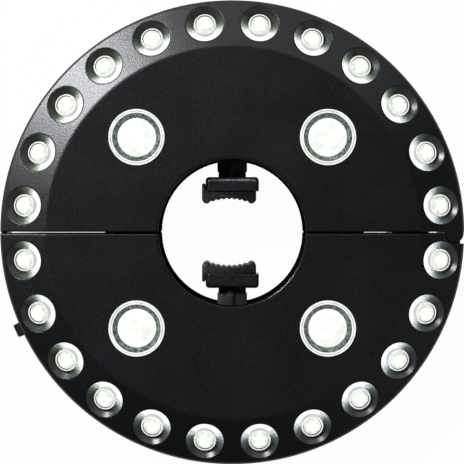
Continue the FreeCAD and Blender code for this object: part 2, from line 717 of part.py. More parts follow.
def jaw_spring():
    """Coil spring of flat-sided wire between the upper jaw's stem and the end of its channel."""
    half = JAW_SPRING_WIRE / 2.0
    length = JAW_SPRING_LENGTH - JAW_SPRING_WIRE - 2.0 * FIT
    path = []
    for i in range(JAW_SPRING_TURNS * JAW_SPRING_BENDS + 1):
        x, y = polar(JAW_SPRING_R, 360.0 * i / JAW_SPRING_BENDS)
        path.append(Vec(x, y, length * i / (JAW_SPRING_TURNS * JAW_SPRING_BENDS)))
    corners = [
        Vec(JAW_SPRING_R + x, 0, z)
        for x, z in ((-half, -half), (half, -half), (half, half), (-half, half), (-half, -half))
    ]
    coil = Part.makePolygon(path).makePipeShell([Part.makePolygon(corners)], True, True, 1)
    lying = turned(coil, -90.0, axis=X_AXIS)
    return moved(lying, 0.0, STEM_END_Y + half + FIT, (STEM_Z[0] + STEM_Z[1]) / 2.0)


def for_side(shape, side):
    """The upper jaw's piece as it is, or mirrored across the seam for the lower jaw."""
    return shape if side == UPPER else shape.mirror(ORIGIN, Y_AXIS)


# Battery bay --------------------------------------------------------------------------------

def in_bay(shape, side):
    """A piece made about the +X direction, turned to one half's battery bay."""
    return turned(shape, BAY_ANGLE + half_turn(side))


def cell_radii():
    """Distances of the two cells' centre lines from the pole's axis."""
    offset = CELL_R + CELL_GAP / 2.0
    return BAY_CENTRE_R - offset, BAY_CENTRE_R + offset


def battery_cells(side):
    """Two round cells, side by side and head to tail."""
    cells = []
    start = -(CELL_LENGTH + CELL_NUB) / 2.0
    for i, radius in enumerate(cell_radii()):
        barrel = Part.makeCylinder(CELL_R, CELL_LENGTH, Vec(radius, start, CELL_Z), Y_AXIS)
        nub = Part.makeCylinder(CELL_NUB_R, CELL_NUB, Vec(radius, start + CELL_LENGTH, CELL_Z), Y_AXIS)
        cell = barrel.fuse(nub)
        if i == 1:
            cell = cell.mirror(ORIGIN, Y_AXIS)
        cells.append(in_bay(cell, side))
    return cells


def battery_contacts(side):
    """Contact plates at both ends of the bay, each with a pressed button."""
    contacts = []
    end = BAY_HALF_LENGTH - FIT
    cell_end = (CELL_LENGTH + CELL_NUB) / 2.0
    for radius in cell_radii():
        for direction in (-1.0, 1.0):
            plate = box(
                (radius - CONTACT_HALF, end - CONTACT_THICKNESS, CELL_Z - CONTACT_HALF),
                (radius + CONTACT_HALF, end, CELL_Z + CONTACT_HALF),
            )
            start = cell_end + FIT
            button = Part.makeCylinder(CELL_NUB_R, end - start, Vec(radius, start, CELL_Z), Y_AXIS)
            contact = plate.fuse(button)
            contacts.append(in_bay(contact if direction > 0 else contact.mirror(ORIGIN, Y_AXIS), side))
    return contacts


def battery_door(side):
    """Sliding door, trimmed to the housing's outline, with grip grooves near its outer end."""
    door = door_blank(0.0).common(revolved(envelope_corners()))
    grooves = []
    half = BAY_HALF_LENGTH / 3.0
    for i in range(DOOR_GRIP_GROOVES):
        x = BACK_R - DOOR_GRIP_INSET - i * DOOR_GRIP_PITCH
        low, high = x - DOOR_GROOVE / 2.0, x + DOOR_GROOVE / 2.0
        grooves.append(box((low, -half, -1.0), (high, half, DOOR_RECESS + DOOR_GROOVE / 2.0)))
    return in_bay(cut_all(door, grooves), side)


# Hanging hook ------------------------------------------------------------------------------

def on_hook_line(shape, side):
    """A piece made about the +X direction, turned to one half's hook."""
    return turned(shape, HOOK_ANGLE + half_turn(side))


def hook(side):
    """J-shaped hook with an eye for its pin, folded flat into the back."""
    z_low = HOOK_PIVOT_Z - HOOK_THICKNESS / 2.0
    z_high = HOOK_PIVOT_Z + HOOK_THICKNESS / 2.0
    inner, outer = HOOK_BEND_R - HOOK_WIDTH / 2.0, HOOK_BEND_R + HOOK_WIDTH / 2.0
    bend = cylinder(outer, z_low, z_high, HOOK_BEND_CENTRE_R)
    bend = bend.cut(cylinder(inner, z_low, z_high, HOOK_BEND_CENTRE_R))
    bend = bend.common(box((HOOK_BEND_CENTRE_R, -FAR, -FAR), (FAR, FAR, FAR)))
    arm = box((HOOK_PIVOT_R, -outer, z_low), (HOOK_BEND_CENTRE_R, -inner, z_high))
    tip = box((HOOK_BEND_CENTRE_R - HOOK_TIP, inner, z_low), (HOOK_BEND_CENTRE_R, outer, z_high))
    eye = Part.makeCylinder(HOOK_EYE_R, 2.0 * outer, Vec(HOOK_PIVOT_R, -outer, HOOK_PIVOT_Z), Y_AXIS)
    bore = Part.makeCylinder(
        HOOK_PIN_R + SHAFT_FIT, 2.0 * outer + 2.0, Vec(HOOK_PIVOT_R, -outer - 1.0, HOOK_PIVOT_Z), Y_AXIS,
    )
    shape = bend.fuse([arm, tip, eye]).cut(bore).removeSplitter()
    return on_hook_line(shape, side)


def hook_pin(side):
    """Pin through the hook's eye, held in the recess's side walls."""
    half = HOOK_HALF_WIDTH + 1.0 + WALL / 2.0 - FIT
    pin = Part.makeCylinder(HOOK_PIN_R, 2.0 * half, Vec(HOOK_PIVOT_R, -half, HOOK_PIVOT_Z), Y_AXIS)
    return on_hook_line(pin, side)


# Button, switch, catch and fasteners ----------------------------------------------------------

def power_button():
    """Button through the rim, with a flange that keeps it in."""
    half = BUTTON_WIDTH / 2.0
    inner_x = OUTER_R - WALL - SLIDE / 2.0
    low, high = button_levels()
    cap = box((inner_x - 1.0, -half, low), (OUTER_R + BUTTON_PROUD, half, high))
    outer_edges = [edge for edge in cap.Edges if edge.CenterOfMass.x > OUTER_R + BUTTON_PROUD - 0.01]
    cap = cap.makeFillet(1.0, outer_edges)
    flange = box((inner_x - 1.0, -half - BUTTON_FLANGE, low), (inner_x, half + BUTTON_FLANGE, high))
    return turned(cap.fuse(flange).removeSplitter(), BUTTON_ANGLE)


def button_back():
    """Distance from the pole's axis to the back of the button."""
    return OUTER_R - WALL - SLIDE / 2.0 - 1.0


def switch_plunger():
    """Plunger between the button and the switch."""
    z = sum(button_levels()) / 2.0
    start = button_back() - PLUNGER_LENGTH - 1.0
    plunger = Part.makeCylinder(PLUNGER_R, PLUNGER_LENGTH + 1.0, Vec(start, 0, z), X_AXIS)
    return turned(plunger, BUTTON_ANGLE)


def mode_switch():
    """Switch body with the hole its plunger slides in."""
    z = sum(button_levels()) / 2.0
    front = button_back() - PLUNGER_LENGTH
    half = SWITCH_BODY / 2.0
    body = box((front - SWITCH_DEPTH, -half, z - half), (front, half, z + half))
    depth = BUTTON_TRAVEL + 1.0 + SLIDE
    hole = Part.makeCylinder(PLUNGER_R + SHAFT_FIT, depth, Vec(front - depth, 0, z), X_AXIS)
    return turned(body.cut(hole), BUTTON_ANGLE)


def control_board():
    """Upright control board behind the switch."""
    back = button_back() - PLUNGER_LENGTH - SWITCH_DEPTH
    half = CONTROL_BOARD_WIDTH / 2.0
    top = button_levels()[1] - 1.0
    board = box((back - BOARD, -half, top - CONTROL_BOARD_HEIGHT), (back, half, top))
    return turned(board, BUTTON_ANGLE)


def catch_spring():
    """Leaf spring that clicks into the snap tongue's groove."""
    z_low = (SNAP_Z[0] + SNAP_Z[1] - CATCH_HEIGHT) / 2.0
    z_high = z_low + CATCH_HEIGHT
    tongue_x = -OUTER_R + SNAP_THICKNESS
    leaf_x = tongue_x + SLIDE
    top_y = SEAM_Y + SNAP_REACH + SLIDE - FIT
    leaf = box((leaf_x, SEAM_Y + FIT, z_low), (leaf_x + CATCH_THICKNESS, top_y, z_high))
    bump = cylinder(SNAP_GROOVE_R - FIT, z_low, z_high, tongue_x, SEAM_Y + SNAP_REACH / 2.0)
    bump = bump.common(box((-FAR, 0.0, z_low), (leaf_x, FAR, z_high)))
    return leaf.fuse(bump).removeSplitter()


def hinge_pin():
    """Pin of the main hinge."""
    return cylinder(HINGE_PIN_R, HINGE_PIN_Z[0] + FIT, HINGE_PIN_Z[1] - FIT, HINGE_X, 0.0)


def housing_screws(side):
    """Screws that hold one half's covers together."""
    screws = []
    for x, y in screw_places(side):
        head = cylinder(SCREW_HEAD_R, SCREW_SEAT_Z - SCREW_HEAD, SCREW_SEAT_Z, x, y)
        screws.append(head.fuse(cylinder(SCREW_R, SCREW_SEAT_Z, SCREW_TOP_Z, x, y)))
    return screws


def half_nodes(name, side):
    """Every piece of one half, its jaw, door and hook."""
    front, back = housing_half(side)
    return {
        f"{name}_front_cover": [front],
        f"{name}_back_cover": [back],
        f"{name}_rim_reflectors": rim_reflectors(side),
        f"{name}_rim_lamps": rim_lamps(side),
        f"{name}_spot_reflectors": spot_reflectors(side),
        f"{name}_spot_lenses": spot_lenses(side),
        f"{name}_spot_boards": spot_boards(side),
        f"{name}_rim_board": [rim_board(side)],
        f"{name}_jaw_slider": [for_side(jaw_slider(), side)],
        f"{name}_jaw_pad": [for_side(jaw_pad(), side)],
        f"{name}_jaw_spring": [for_side(jaw_spring(), side)],
        f"{name}_battery_cells": battery_cells(side),
        f"{name}_battery_contacts": battery_contacts(side),
        f"{name}_battery_door": [battery_door(side)],
        f"{name}_hook": [hook(side)],
        f"{name}_hook_pin": [hook_pin(side)],
        f"{name}_housing_screws": housing_screws(side),
    }


def main():
    """Builds every piece and writes one file for each."""
    nodes = half_nodes("upper", UPPER)
    nodes.update(half_nodes("lower", LOWER))
    nodes["power_button"] = [power_button()]
    nodes["switch_plunger"] = [switch_plunger()]
    nodes["mode_switch"] = [mode_switch()]
    nodes["control_board"] = [control_board()]
    nodes["catch_spring"] = [catch_spring()]
    nodes["hinge_pin"] = [hinge_pin()]
    os.makedirs("parts", exist_ok=True)
    for name, shapes in nodes.items():
        solids = [solid for shape in shapes for solid in shape.Solids]
        shape = solids[0] if len(solids) == 1 else Part.makeCompound(solids)
        shape.exportStep(f"parts/{name}.step")
        valid = all(solid.isValid() for solid in solids)
        print(f"{name}: {len(solids)} solid(s), {shape.Volume:.0f} mm3, valid {valid}")


main()
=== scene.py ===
"""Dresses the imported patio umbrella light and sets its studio.

Moulded covers, lit lamps in bright cups, ridged spot lamps, and rubber-faced jaws with their springs.
"""
import json
import logging
import math
from dataclasses import dataclass, field
from enum import Enum
from typing import Any, Iterable, Sequence

import bmesh
import bpy
from mathutils import Matrix, Vector

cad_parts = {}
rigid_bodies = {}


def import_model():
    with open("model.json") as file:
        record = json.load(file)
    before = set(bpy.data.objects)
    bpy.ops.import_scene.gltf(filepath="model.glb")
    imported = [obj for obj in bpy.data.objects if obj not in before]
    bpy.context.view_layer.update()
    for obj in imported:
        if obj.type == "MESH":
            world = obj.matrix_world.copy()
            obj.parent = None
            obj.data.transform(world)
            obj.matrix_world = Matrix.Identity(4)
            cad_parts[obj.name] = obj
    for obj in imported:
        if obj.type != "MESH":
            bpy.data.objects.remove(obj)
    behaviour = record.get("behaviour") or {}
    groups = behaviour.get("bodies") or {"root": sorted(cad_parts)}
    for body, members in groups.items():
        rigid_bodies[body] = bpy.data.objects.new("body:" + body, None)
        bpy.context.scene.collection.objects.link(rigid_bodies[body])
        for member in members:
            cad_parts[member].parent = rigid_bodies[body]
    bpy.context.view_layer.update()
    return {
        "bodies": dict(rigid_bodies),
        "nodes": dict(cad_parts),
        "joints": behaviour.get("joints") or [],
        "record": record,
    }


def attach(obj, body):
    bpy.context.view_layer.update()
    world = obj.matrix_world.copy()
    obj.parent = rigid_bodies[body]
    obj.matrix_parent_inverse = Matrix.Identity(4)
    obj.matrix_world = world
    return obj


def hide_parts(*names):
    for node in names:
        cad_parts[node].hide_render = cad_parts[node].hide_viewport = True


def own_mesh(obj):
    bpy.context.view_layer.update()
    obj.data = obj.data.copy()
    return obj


LOG = logging.getLogger("patio_umbrella_light")
MM = 0.001

Colour = tuple[float, float, float]
Point = tuple[float, float]
WHITE: Colour = (1.0, 1.0, 1.0)


class Side(Enum):
    """The two hinged halves of the ring."""

    UPPER = "upper"
    LOWER = "lower"

    @property
    def body(self) -> str:
        """Name of the half's own body."""
        return f"{self.value}_half"

    @property
    def sign(self) -> float:
        """+1 on the +Y side of the seam, -1 on the other."""
        return 1.0 if self is Side.UPPER else -1.0

    @property
    def half_turn(self) -> float:
        """Degrees that carry the upper half's feature to this half."""
        return 0.0 if self is Side.UPPER else 180.0

    def node(self, part: str) -> str:
        """Name of this half's CAD node for a part."""
        return f"{self.value}_{part}"


# Shader arithmetic ------------------------------


class Signal:
    """A value socket that takes part in Python arithmetic; each operator adds a Math node."""

    def __init__(self, graph: "Graph", socket: bpy.types.NodeSocket) -> None:
        """Wraps one output socket of a graph."""
        self.graph = graph
        self.socket = socket

    def __add__(self, other: "Operand") -> "Signal":
        """Sum."""
        return self.graph.math("ADD", self, other)

    __radd__ = __add__

    def __sub__(self, other: "Operand") -> "Signal":
        """Difference."""
        return self.graph.math("SUBTRACT", self, other)

    def __rsub__(self, other: "Operand") -> "Signal":
        """Difference with this signal on the right."""
        return self.graph.math("SUBTRACT", other, self)

    def __mul__(self, other: "Operand") -> "Signal":
        """Product."""
        return self.graph.math("MULTIPLY", self, other)

    __rmul__ = __mul__

    def between(self, low: float, high: float) -> "Signal":
        """0 below low, 1 above high, smooth between them."""
        node = self.graph.add("ShaderNodeMapRange", {"interpolation_type": "SMOOTHSTEP"}, {
            "Value": self, "From Min": low, "From Max": high,
        })
        return Signal(self.graph, node.outputs["Result"])


Operand = Signal | float


class Graph:
    """The node tree of one material or of the world."""

    def __init__(self, owner: bpy.types.Material | bpy.types.World) -> None:
        """Empties the owner's tree and starts it with its output node.

        Args:
            owner: the material or world.
        """
        owner.use_nodes = True
        self.tree = owner.node_tree
        self.tree.nodes.clear()
        of_world = isinstance(owner, bpy.types.World)
        self.output = self.add("ShaderNodeOutputWorld" if of_world else "ShaderNodeOutputMaterial")

    def add(
        self,
        kind: str,
        settings: dict[str, Any] | None = None,
        inputs: dict[str | int, Any] | None = None,
    ) -> bpy.types.Node:
        """Adds one node.

        Args:
            kind: Blender's type name of the node.
            settings: properties of the node, set first.
            inputs: values, signals or sockets for its inputs, by name or number.

        Returns:
            The new node.
        """
        node = self.tree.nodes.new(kind)
        for name, value in (settings or {}).items():
            setattr(node, name, value)
        for name, value in (inputs or {}).items():
            self.feed(node.inputs[name], value)
        return node

    def feed(self, socket: bpy.types.NodeSocket, value: Any) -> None:
        """Links a signal or socket to an input, or sets its value.

        Args:
            socket: the input.
            value: a signal, a socket, a number or a colour.
        """
        if isinstance(value, Signal):
            self.tree.links.new(value.socket, socket)
        elif isinstance(value, bpy.types.NodeSocket):
            self.tree.links.new(value, socket)
        elif socket.type == "RGBA" and len(value) == 3:
            socket.default_value = (*value, 1.0)
        else:
            socket.default_value = value

    def math(self, operation: str, *operands: Operand) -> Signal:
        """Adds a Math node over signals and numbers."""
        node = self.add("ShaderNodeMath", {"operation": operation}, dict(enumerate(operands)))
        return Signal(self, node.outputs[0])

    def mix(self, share: Operand, first: Any, second: Any) -> bpy.types.NodeSocket:
        """Blends two colours or colour sockets: a share of 0 gives the first and 1 the second."""
        node = self.add("ShaderNodeMix", {"data_type": "RGBA"}, {0: share, 6: first, 7: second})
        return node.outputs[2]

    def place(self) -> bpy.types.NodeSocket:
        """Coordinates of a point on the piece, in metres."""
        return self.add("ShaderNodeTexCoord").outputs["Object"]

    def lean(self) -> Signal:
        """Share of the normal along the ring's axis: 1 where a surface faces out of the front."""
        normal = self.add("ShaderNodeTexCoord").outputs["Normal"]
        return Signal(self, self.add("ShaderNodeSeparateXYZ", None, {0: normal}).outputs["Z"])

    def noise(
        self, grain: float, detail: float = 2.0, stretch: Sequence[float] = (1.0, 1.0, 1.0),
    ) -> Signal:
        """Noise whose grains are about one size.

        Args:
            grain: size of a grain in metres.
            detail: octaves.
            stretch: scale of each axis before the noise, below 1 for long grains.

        Returns:
            A signal round 0.5.
        """
        inputs = {"Vector": self.place(), "Scale": stretch}
        where = self.add("ShaderNodeMapping", {"vector_type": "POINT"}, inputs)
        node = self.add("ShaderNodeTexNoise", {"noise_dimensions": "3D"}, {
            "Vector": where.outputs[0], "Scale": 1.0 / grain, "Detail": detail, "Roughness": 0.55,
        })
        return Signal(self, node.outputs["Fac"])

    def cells(self, grain: float) -> Signal:
        """Distance to the nearest of scattered points, 0 at a point and about 1 a grain away from it."""
        node = self.add("ShaderNodeTexVoronoi", {"feature": "F1"}, {
            "Vector": self.place(), "Scale": 1.0 / grain,
        })
        return Signal(self, node.outputs["Distance"])

    def bump(self, height: Signal, distance: float, rounding: float = 0.0) -> bpy.types.NodeSocket:
        """Surface normal from a height signal.

        Args:
            height: the height, 0 to 1.
            distance: what a height of 1 stands for, in metres.
            rounding: radius that sharp edges seem rounded by, in metres.

        Returns:
            The normal's socket.
        """
        inputs: dict[str | int, Any] = {"Height": height, "Distance": distance, "Strength": 1.0}
        if rounding > 0.0:
            bevel = self.add("ShaderNodeBevel", {"samples": 6}, {"Radius": rounding})
            inputs["Normal"] = bevel.outputs[0]
        return self.add("ShaderNodeBump", None, inputs).outputs[0]

    def principled(self, inputs: dict[str | int, Any]) -> bpy.types.NodeSocket:
        """Adds a Principled shader and gives its socket."""
        return self.add("ShaderNodeBsdfPrincipled", None, inputs).outputs[0]

    def surface(self, shader: bpy.types.NodeSocket) -> None:
        """Joins a shader to the output."""
        self.tree.links.new(shader, self.output.inputs["Surface"])

    def spot(self) -> tuple["Signal", "Signal", "Signal"]:
        """X, Y and Z of a point on the piece, in metres."""
        axes = self.add("ShaderNodeSeparateXYZ", None, {0: self.place()})
        return tuple(Signal(self, axes.outputs[letter]) for letter in "XYZ")


# Finishes ------------------------------


def scaled(colour: Colour, share: float) -> Colour:
    """The colour, lighter or darker by a share."""
    return tuple(share * channel for channel in colour)


@dataclass(frozen=True)
class Finish:
    """What one kind of surface looks like; sizes in a finish are in metres."""

    name: str

    def material(self) -> bpy.types.Material:
        """The finish's material, made on its first use.

        Returns:
            The material.
        """
        made = bpy.data.materials.get(self.name)
        if made is None:
            made = bpy.data.materials.new(self.name)
            self.shade(Graph(made))
        return made

    def shade(self, graph: Graph) -> None:
        """Writes the finish's nodes in a graph."""
        raise NotImplementedError


@dataclass(frozen=True)
class MouldedPlastic(Finish):
    """Moulded plastic with a spark-eroded grain and slightly uneven gloss."""

    colour: Colour
    roughness: float
    grain: float = 0.0007
    grain_depth: float = 0.00008
    rounding: float = 0.0004
    sparkle: float = 0.0
    uneven: float = 0.12
    drift: float = 0.08
    polish_gain: float = 0.11
    clear_roughness: float = 0.2

    def shade(self, graph: Graph) -> None:
        """Joins the grained shader to the output."""
        graph.surface(self.grained(graph))

    def grained(self, graph: Graph, polish: Operand = 0.0) -> bpy.types.NodeSocket:
        """The grained plastic's shader, without its grain where the polish is 1.

        Args:
            graph: the material's node tree.
            polish: 0 where the grain is whole and 1 where it is worn smooth.

        Returns:
            The shader's socket.
        """
        grain = graph.noise(self.grain, 3.0)
        fine = graph.noise(self.grain * 0.4, 1.0)
        drift = graph.noise(0.03, 2.0)
        share = (grain * 0.75 + drift * 0.25).between(0.38, 0.62)
        plain = 1.0 - polish
        gloss = (drift - 0.5) * self.drift - polish * self.polish_gain
        roughness = self.roughness + (grain - 0.5) * plain * self.uneven + gloss
        height = (grain * 0.7 + fine * 0.3) * plain
        return graph.principled({
            "Base Color": graph.mix(share, scaled(self.colour, 0.6), scaled(self.colour, 1.5)),
            "Metallic": grain.between(0.36, 0.64) * plain * self.sparkle,
            "Coat Weight": 1.0 - plain,
            "Coat Roughness": self.clear_roughness,
            "Roughness": roughness,
            "Normal": graph.bump(height, self.grain_depth, self.rounding),
        })


@dataclass(frozen=True)
class CoverPlastic(MouldedPlastic):
    """Housing plastic with painted shade: dark and without reflection on the wall of the pole hole and in a
    thin line round the outer rim.
    """

    bore_radius: float = 0.0329
    edge_height: float = 0.0443
    rim_radius: float = 0.1018
    blend: float = 0.0003
    rim_blend: float = 0.0005
    rim_share: float = 0.8

    def shade(self, graph: Graph) -> None:
        """Grained plastic outside, smooth on the hole's front edge, and painted shade inside the hole and round
        the rim.

        Args:
            graph: the material's node tree.
        """
        x, y, z = graph.spot()
        radius = graph.math("SQRT", x * x + y * y)
        edge = self.bore_radius + self.blend
        inside = 1.0 - radius.between(self.bore_radius, edge)
        below = 1.0 - z.between(self.edge_height, self.edge_height + self.blend)
        beyond = radius.between(self.rim_radius, self.rim_radius + self.rim_blend)
        smooth = 1.0 - radius.between(edge, edge + self.rim_blend)
        # Painted shade: a dark shader with no reflection stands in for the shade in the hole and on the rim's
        # edge.
        painted_shade = graph.principled({
            "Base Color": (0.003, 0.003, 0.0034),
            "Roughness": 0.8,
            "Specular IOR Level": 0.0,
        })
        graph.surface(graph.add("ShaderNodeMixShader", None, {
            0: inside * below + beyond * self.rim_share, 1: self.grained(graph, smooth), 2: painted_shade,
        }).outputs[0])


@dataclass(frozen=True)
class Rubber(Finish):
    """Matt rubber with a fine tooth, a few dust specks and a dry bloom."""

    colour: Colour = (0.0045, 0.0045, 0.0055)
    dust: Colour = (0.12, 0.12, 0.12)

    def shade(self, graph: Graph) -> None:
        """Fine tooth, specks and bloom.

        Args:
            graph: the material's node tree.
        """
        tooth = graph.noise(0.0009, 4.0)
        bloom = graph.noise(0.006, 2.0)
        speck = 1.0 - graph.cells(0.0022).between(0.03, 0.09)
        share = (tooth * 0.7 + bloom * 0.3).between(0.4, 0.6)
        tone = graph.mix(share, self.colour, scaled(self.colour, 1.7))
        tone = graph.mix(speck * 0.3, tone, self.dust)
        graph.surface(graph.principled({
            "Base Color": tone,
            "Roughness": 0.46 + (tooth - 0.5) * 0.4,
            "Specular IOR Level": 0.4,
            "Normal": graph.bump(tooth, 0.0002, 0.0005),
        }))


@dataclass(frozen=True)
class BrightMetal(Finish):
    """Metal or metallised plastic with faint turning or handling marks."""

    colour: Colour
    roughness: float
    mark: float
    mark_depth: float = 0.000006
    stain: Colour = (0.86, 0.87, 0.8)

    def shade(self, graph: Graph) -> None:
        """Marks, uneven gloss and a slight stain.

        Args:
            graph: the material's node tree.
        """
        marks = graph.noise(self.mark, 3.0)
        stain = graph.noise(0.006, 2.0)
        stained = tuple(channel * left for channel, left in zip(self.colour, self.stain))
        graph.surface(graph.principled({
            "Base Color": graph.mix(stain.between(0.4, 0.7), self.colour, stained),
            "Metallic": 1.0,
            "Roughness": self.roughness + (marks - 0.5) * 0.12,
            "Normal": graph.bump(marks, self.mark_depth),
        }))


@dataclass(frozen=True)
class LitPlastic(Finish):
    """Clear plastic full of the lamp's own light."""

    glow: Colour
    shade_glow: Colour
    colour: Colour = (0.1, 0.1, 0.1)
    ripple: float = 0.0016
    roughness: float = 0.15

    def shade(self, graph: Graph) -> None:
        """Glow that shifts a little from place to place."""
        ripple = graph.noise(self.ripple, 2.0)
        graph.surface(graph.principled({
            "Base Color": graph.mix(ripple.between(0.35, 0.65), self.colour, scaled(self.colour, 0.85)),
            "Roughness": self.roughness + (ripple - 0.5) * 0.1,
            "Specular IOR Level": 0.12,
            "Emission Color": graph.mix(ripple.between(0.42, 0.66), self.glow, self.shade_glow),
            "Emission Strength": 1.0,
            "Normal": graph.bump(ripple, 0.00002),
        }))


@dataclass(frozen=True)
class LampSide(Finish):
    """Clear side of a lamp with painted light: it glows bright where it leans towards the sky and dim where it
    leans away.
    """

    lit: Colour = (0.42, 0.47, 0.48)
    dim: Colour = (0.012, 0.013, 0.009)
    colour: Colour = (0.06, 0.065, 0.06)
    turn: Point = (-0.02, 0.26)

    def shade(self, graph: Graph) -> None:
        """Glow by the lean of the surface.

        Args:
            graph: the material's node tree.
        """
        ripple = graph.noise(0.0012, 2.0)
        # Painted light: the glow follows the lean of the surface.
        share = (graph.lean() + (ripple - 0.5) * 0.12).between(*self.turn)
        graph.surface(graph.principled({
            "Base Color": self.colour,
            "Roughness": 0.2 + (ripple - 0.5) * 0.1,
            "Emission Color": graph.mix(share, self.dim, self.lit),
            "Emission Strength": 1.0,
            "Normal": graph.bump(ripple, 0.00002),
        }))


@dataclass(frozen=True)
class LitBowl(Finish):
    """Coated bowl with painted light: it glows bright on the steep side and dim on the other, by the lean of
    its surface, standing in for its lamp's light and reflections.
    """

    colour: Colour = (0.016, 0.017, 0.014)
    lit: Colour = (1.0, 1.0, 0.98)
    glow_tint: Colour = (0.42, 0.47, 0.31)
    fade_glow: Colour = (0.075, 0.1, 0.085)
    dim: Colour = (0.007, 0.0075, 0.0055)
    cool: Colour = (0.4, 0.49, 0.52)
    cool_dim: Colour = (0.011, 0.0105, 0.0145)
    roughness: float = 0.3
    far_side: Point = (-0.03, 0.1)
    shadow_lean: Point = (0.66, 0.84)
    edge_lean: Point = (0.62, 0.72)
    glow_lean: Point = (0.57, 0.67)

    def shade(self, graph: Graph) -> None:
        """Painted light by the lean of the bowl, broken up by fine streaks where it fades, and painted cooler
        and dimmer on the cups towards the lower right.

        Args:
            graph: the material's node tree.
        """
        streaks = graph.noise(0.0009, 3.0)
        cloud = graph.noise(0.0035, 2.0)
        x, y, _ = graph.spot()
        # Painted reflection: cups towards the lower right of the ring glow cooler and dimmer.
        far = (x - y).between(*self.far_side)
        lean = graph.lean() + (streaks - 0.5) * 0.12 + (cloud - 0.5) * 0.04
        dim = graph.mix(far, self.dim, self.cool_dim)
        shadow = graph.mix(1.0 - lean.between(*self.shadow_lean), dim, self.fade_glow)
        glow_tint = graph.mix(far, self.glow_tint, self.cool)
        streaky = lean + far * (0.022 + (streaks - 0.5) * 0.16)
        glow = graph.mix(1.0 - streaky.between(*self.glow_lean), glow_tint, self.lit)
        graph.surface(graph.principled({
            "Base Color": graph.mix(cloud.between(0.4, 0.7), self.colour, scaled(self.colour, 1.6)),
            "Roughness": self.roughness + (streaks - 0.5) * 0.16,
            # Painted light: the glow is set by the lean of the surface.
            "Emission Color": graph.mix(1.0 - lean.between(*self.edge_lean), shadow, glow),
            "Emission Strength": 1.0,
            "Normal": graph.bump(streaks, 0.00003),
        }))


@dataclass(frozen=True)
class MottledMirror(Finish):
    """Metallised cone with painted reflection: dark and light patches of colour stand for the dark lamp body
    mirrored in it, beside its own metallic reflection.
    """

    dark: Colour = (0.022, 0.032, 0.027)
    light: Colour = (0.26, 0.31, 0.29)

    def shade(self, graph: Graph) -> None:
        """Patches, streaks along the cone and uneven gloss.

        Args:
            graph: the material's node tree.
        """
        patches = graph.noise(0.0016, 3.0)
        streaks = graph.noise(0.0011, 2.0, (1.0, 1.0, 0.3))
        flecks = 1.0 - graph.cells(0.0013).between(0.12, 0.24)
        # Painted reflection: the patches stand for the dark lamp body mirrored in broken patches.
        share = (patches * 0.6 + streaks * 0.4 + flecks * 0.08).between(0.36, 0.7)
        graph.surface(graph.principled({
            "Base Color": graph.mix(share, self.dark, self.light),
            "Metallic": 0.6,
            "Roughness": 0.26 + patches * 0.2,
            "Normal": graph.bump(streaks, 0.00012),
        }))


@dataclass(frozen=True)
class CircuitBoard(Finish):
    """Board under solder mask, with tracks that show through."""

    mask: Colour = (0.02, 0.11, 0.045)
    track: Colour = (0.045, 0.2, 0.085)

    def shade(self, graph: Graph) -> None:
        """Mask, tracks and weave.

        Args:
            graph: the material's node tree.
        """
        tracks = graph.cells(0.003).between(0.35, 0.42)
        weave = graph.noise(0.0008, 1.0, (1.0, 0.4, 1.0))
        graph.surface(graph.principled({
            "Base Color": graph.mix(tracks, self.mask, self.track),
            "Roughness": 0.35 + (weave - 0.5) * 0.2,
            "Normal": graph.bump(tracks * 0.8 + weave * 0.2, 0.00003),
        }))


@dataclass(frozen=True)
class CellJacket(Finish):
    """Plain foil jacket of a battery cell, scuffed pale in places."""

    foil: Colour = (0.02, 0.05, 0.11)
    scuffed: Colour = (0.12, 0.14, 0.17)

    def shade(self, graph: Graph) -> None:
        """Jacket with scuffs."""
        scuffs = graph.noise(0.004, 4.0)
        graph.surface(graph.principled({
            "Base Color": graph.mix(scuffs.between(0.5, 0.75), self.foil, self.scuffed),
            "Metallic": 0.6,
            "Roughness": 0.3 + (scuffs - 0.5) * 0.3,
            "Normal": graph.bump(scuffs, 0.00002, 0.0004),
        }))


HOUSING = CoverPlastic(
    "housing_plastic_satin_black", (0.0047, 0.005, 0.0061), roughness=0.33, rounding=0.0008, sparkle=0.1,
)
JAW_BLACK = MouldedPlastic("jaw_plastic_black", (0.0105, 0.0105, 0.0125), roughness=0.3, rounding=0.0005)
# Painted highlight: a pale plastic on the rounded back edge of the upper jaw plate, standing in for the light
# that catches it.
JAW_PAINTED_HIGHLIGHT = MouldedPlastic(
    "jaw_edge_painted_highlight", (0.12, 0.12, 0.125), roughness=0.3, grain=0.0012, grain_depth=0.00006,
)
BUTTON_BLACK = MouldedPlastic(
    "button_plastic_black", (0.014, 0.014, 0.016), roughness=0.28, grain=0.0009, grain_depth=0.00002,
)
SWITCH_GREY = MouldedPlastic(
    "switch_plastic_grey", (0.1, 0.1, 0.11), roughness=0.45, grain=0.0008, grain_depth=0.00002, rounding=0.0002,
)
CUP_EDGE = MouldedPlastic(
    "cup_edge_black", (0.005, 0.005, 0.006), roughness=0.24, grain=0.0009, grain_depth=0.00001, rounding=0.0,
)
PAD_RUBBER = Rubber("pad_rubber_black")
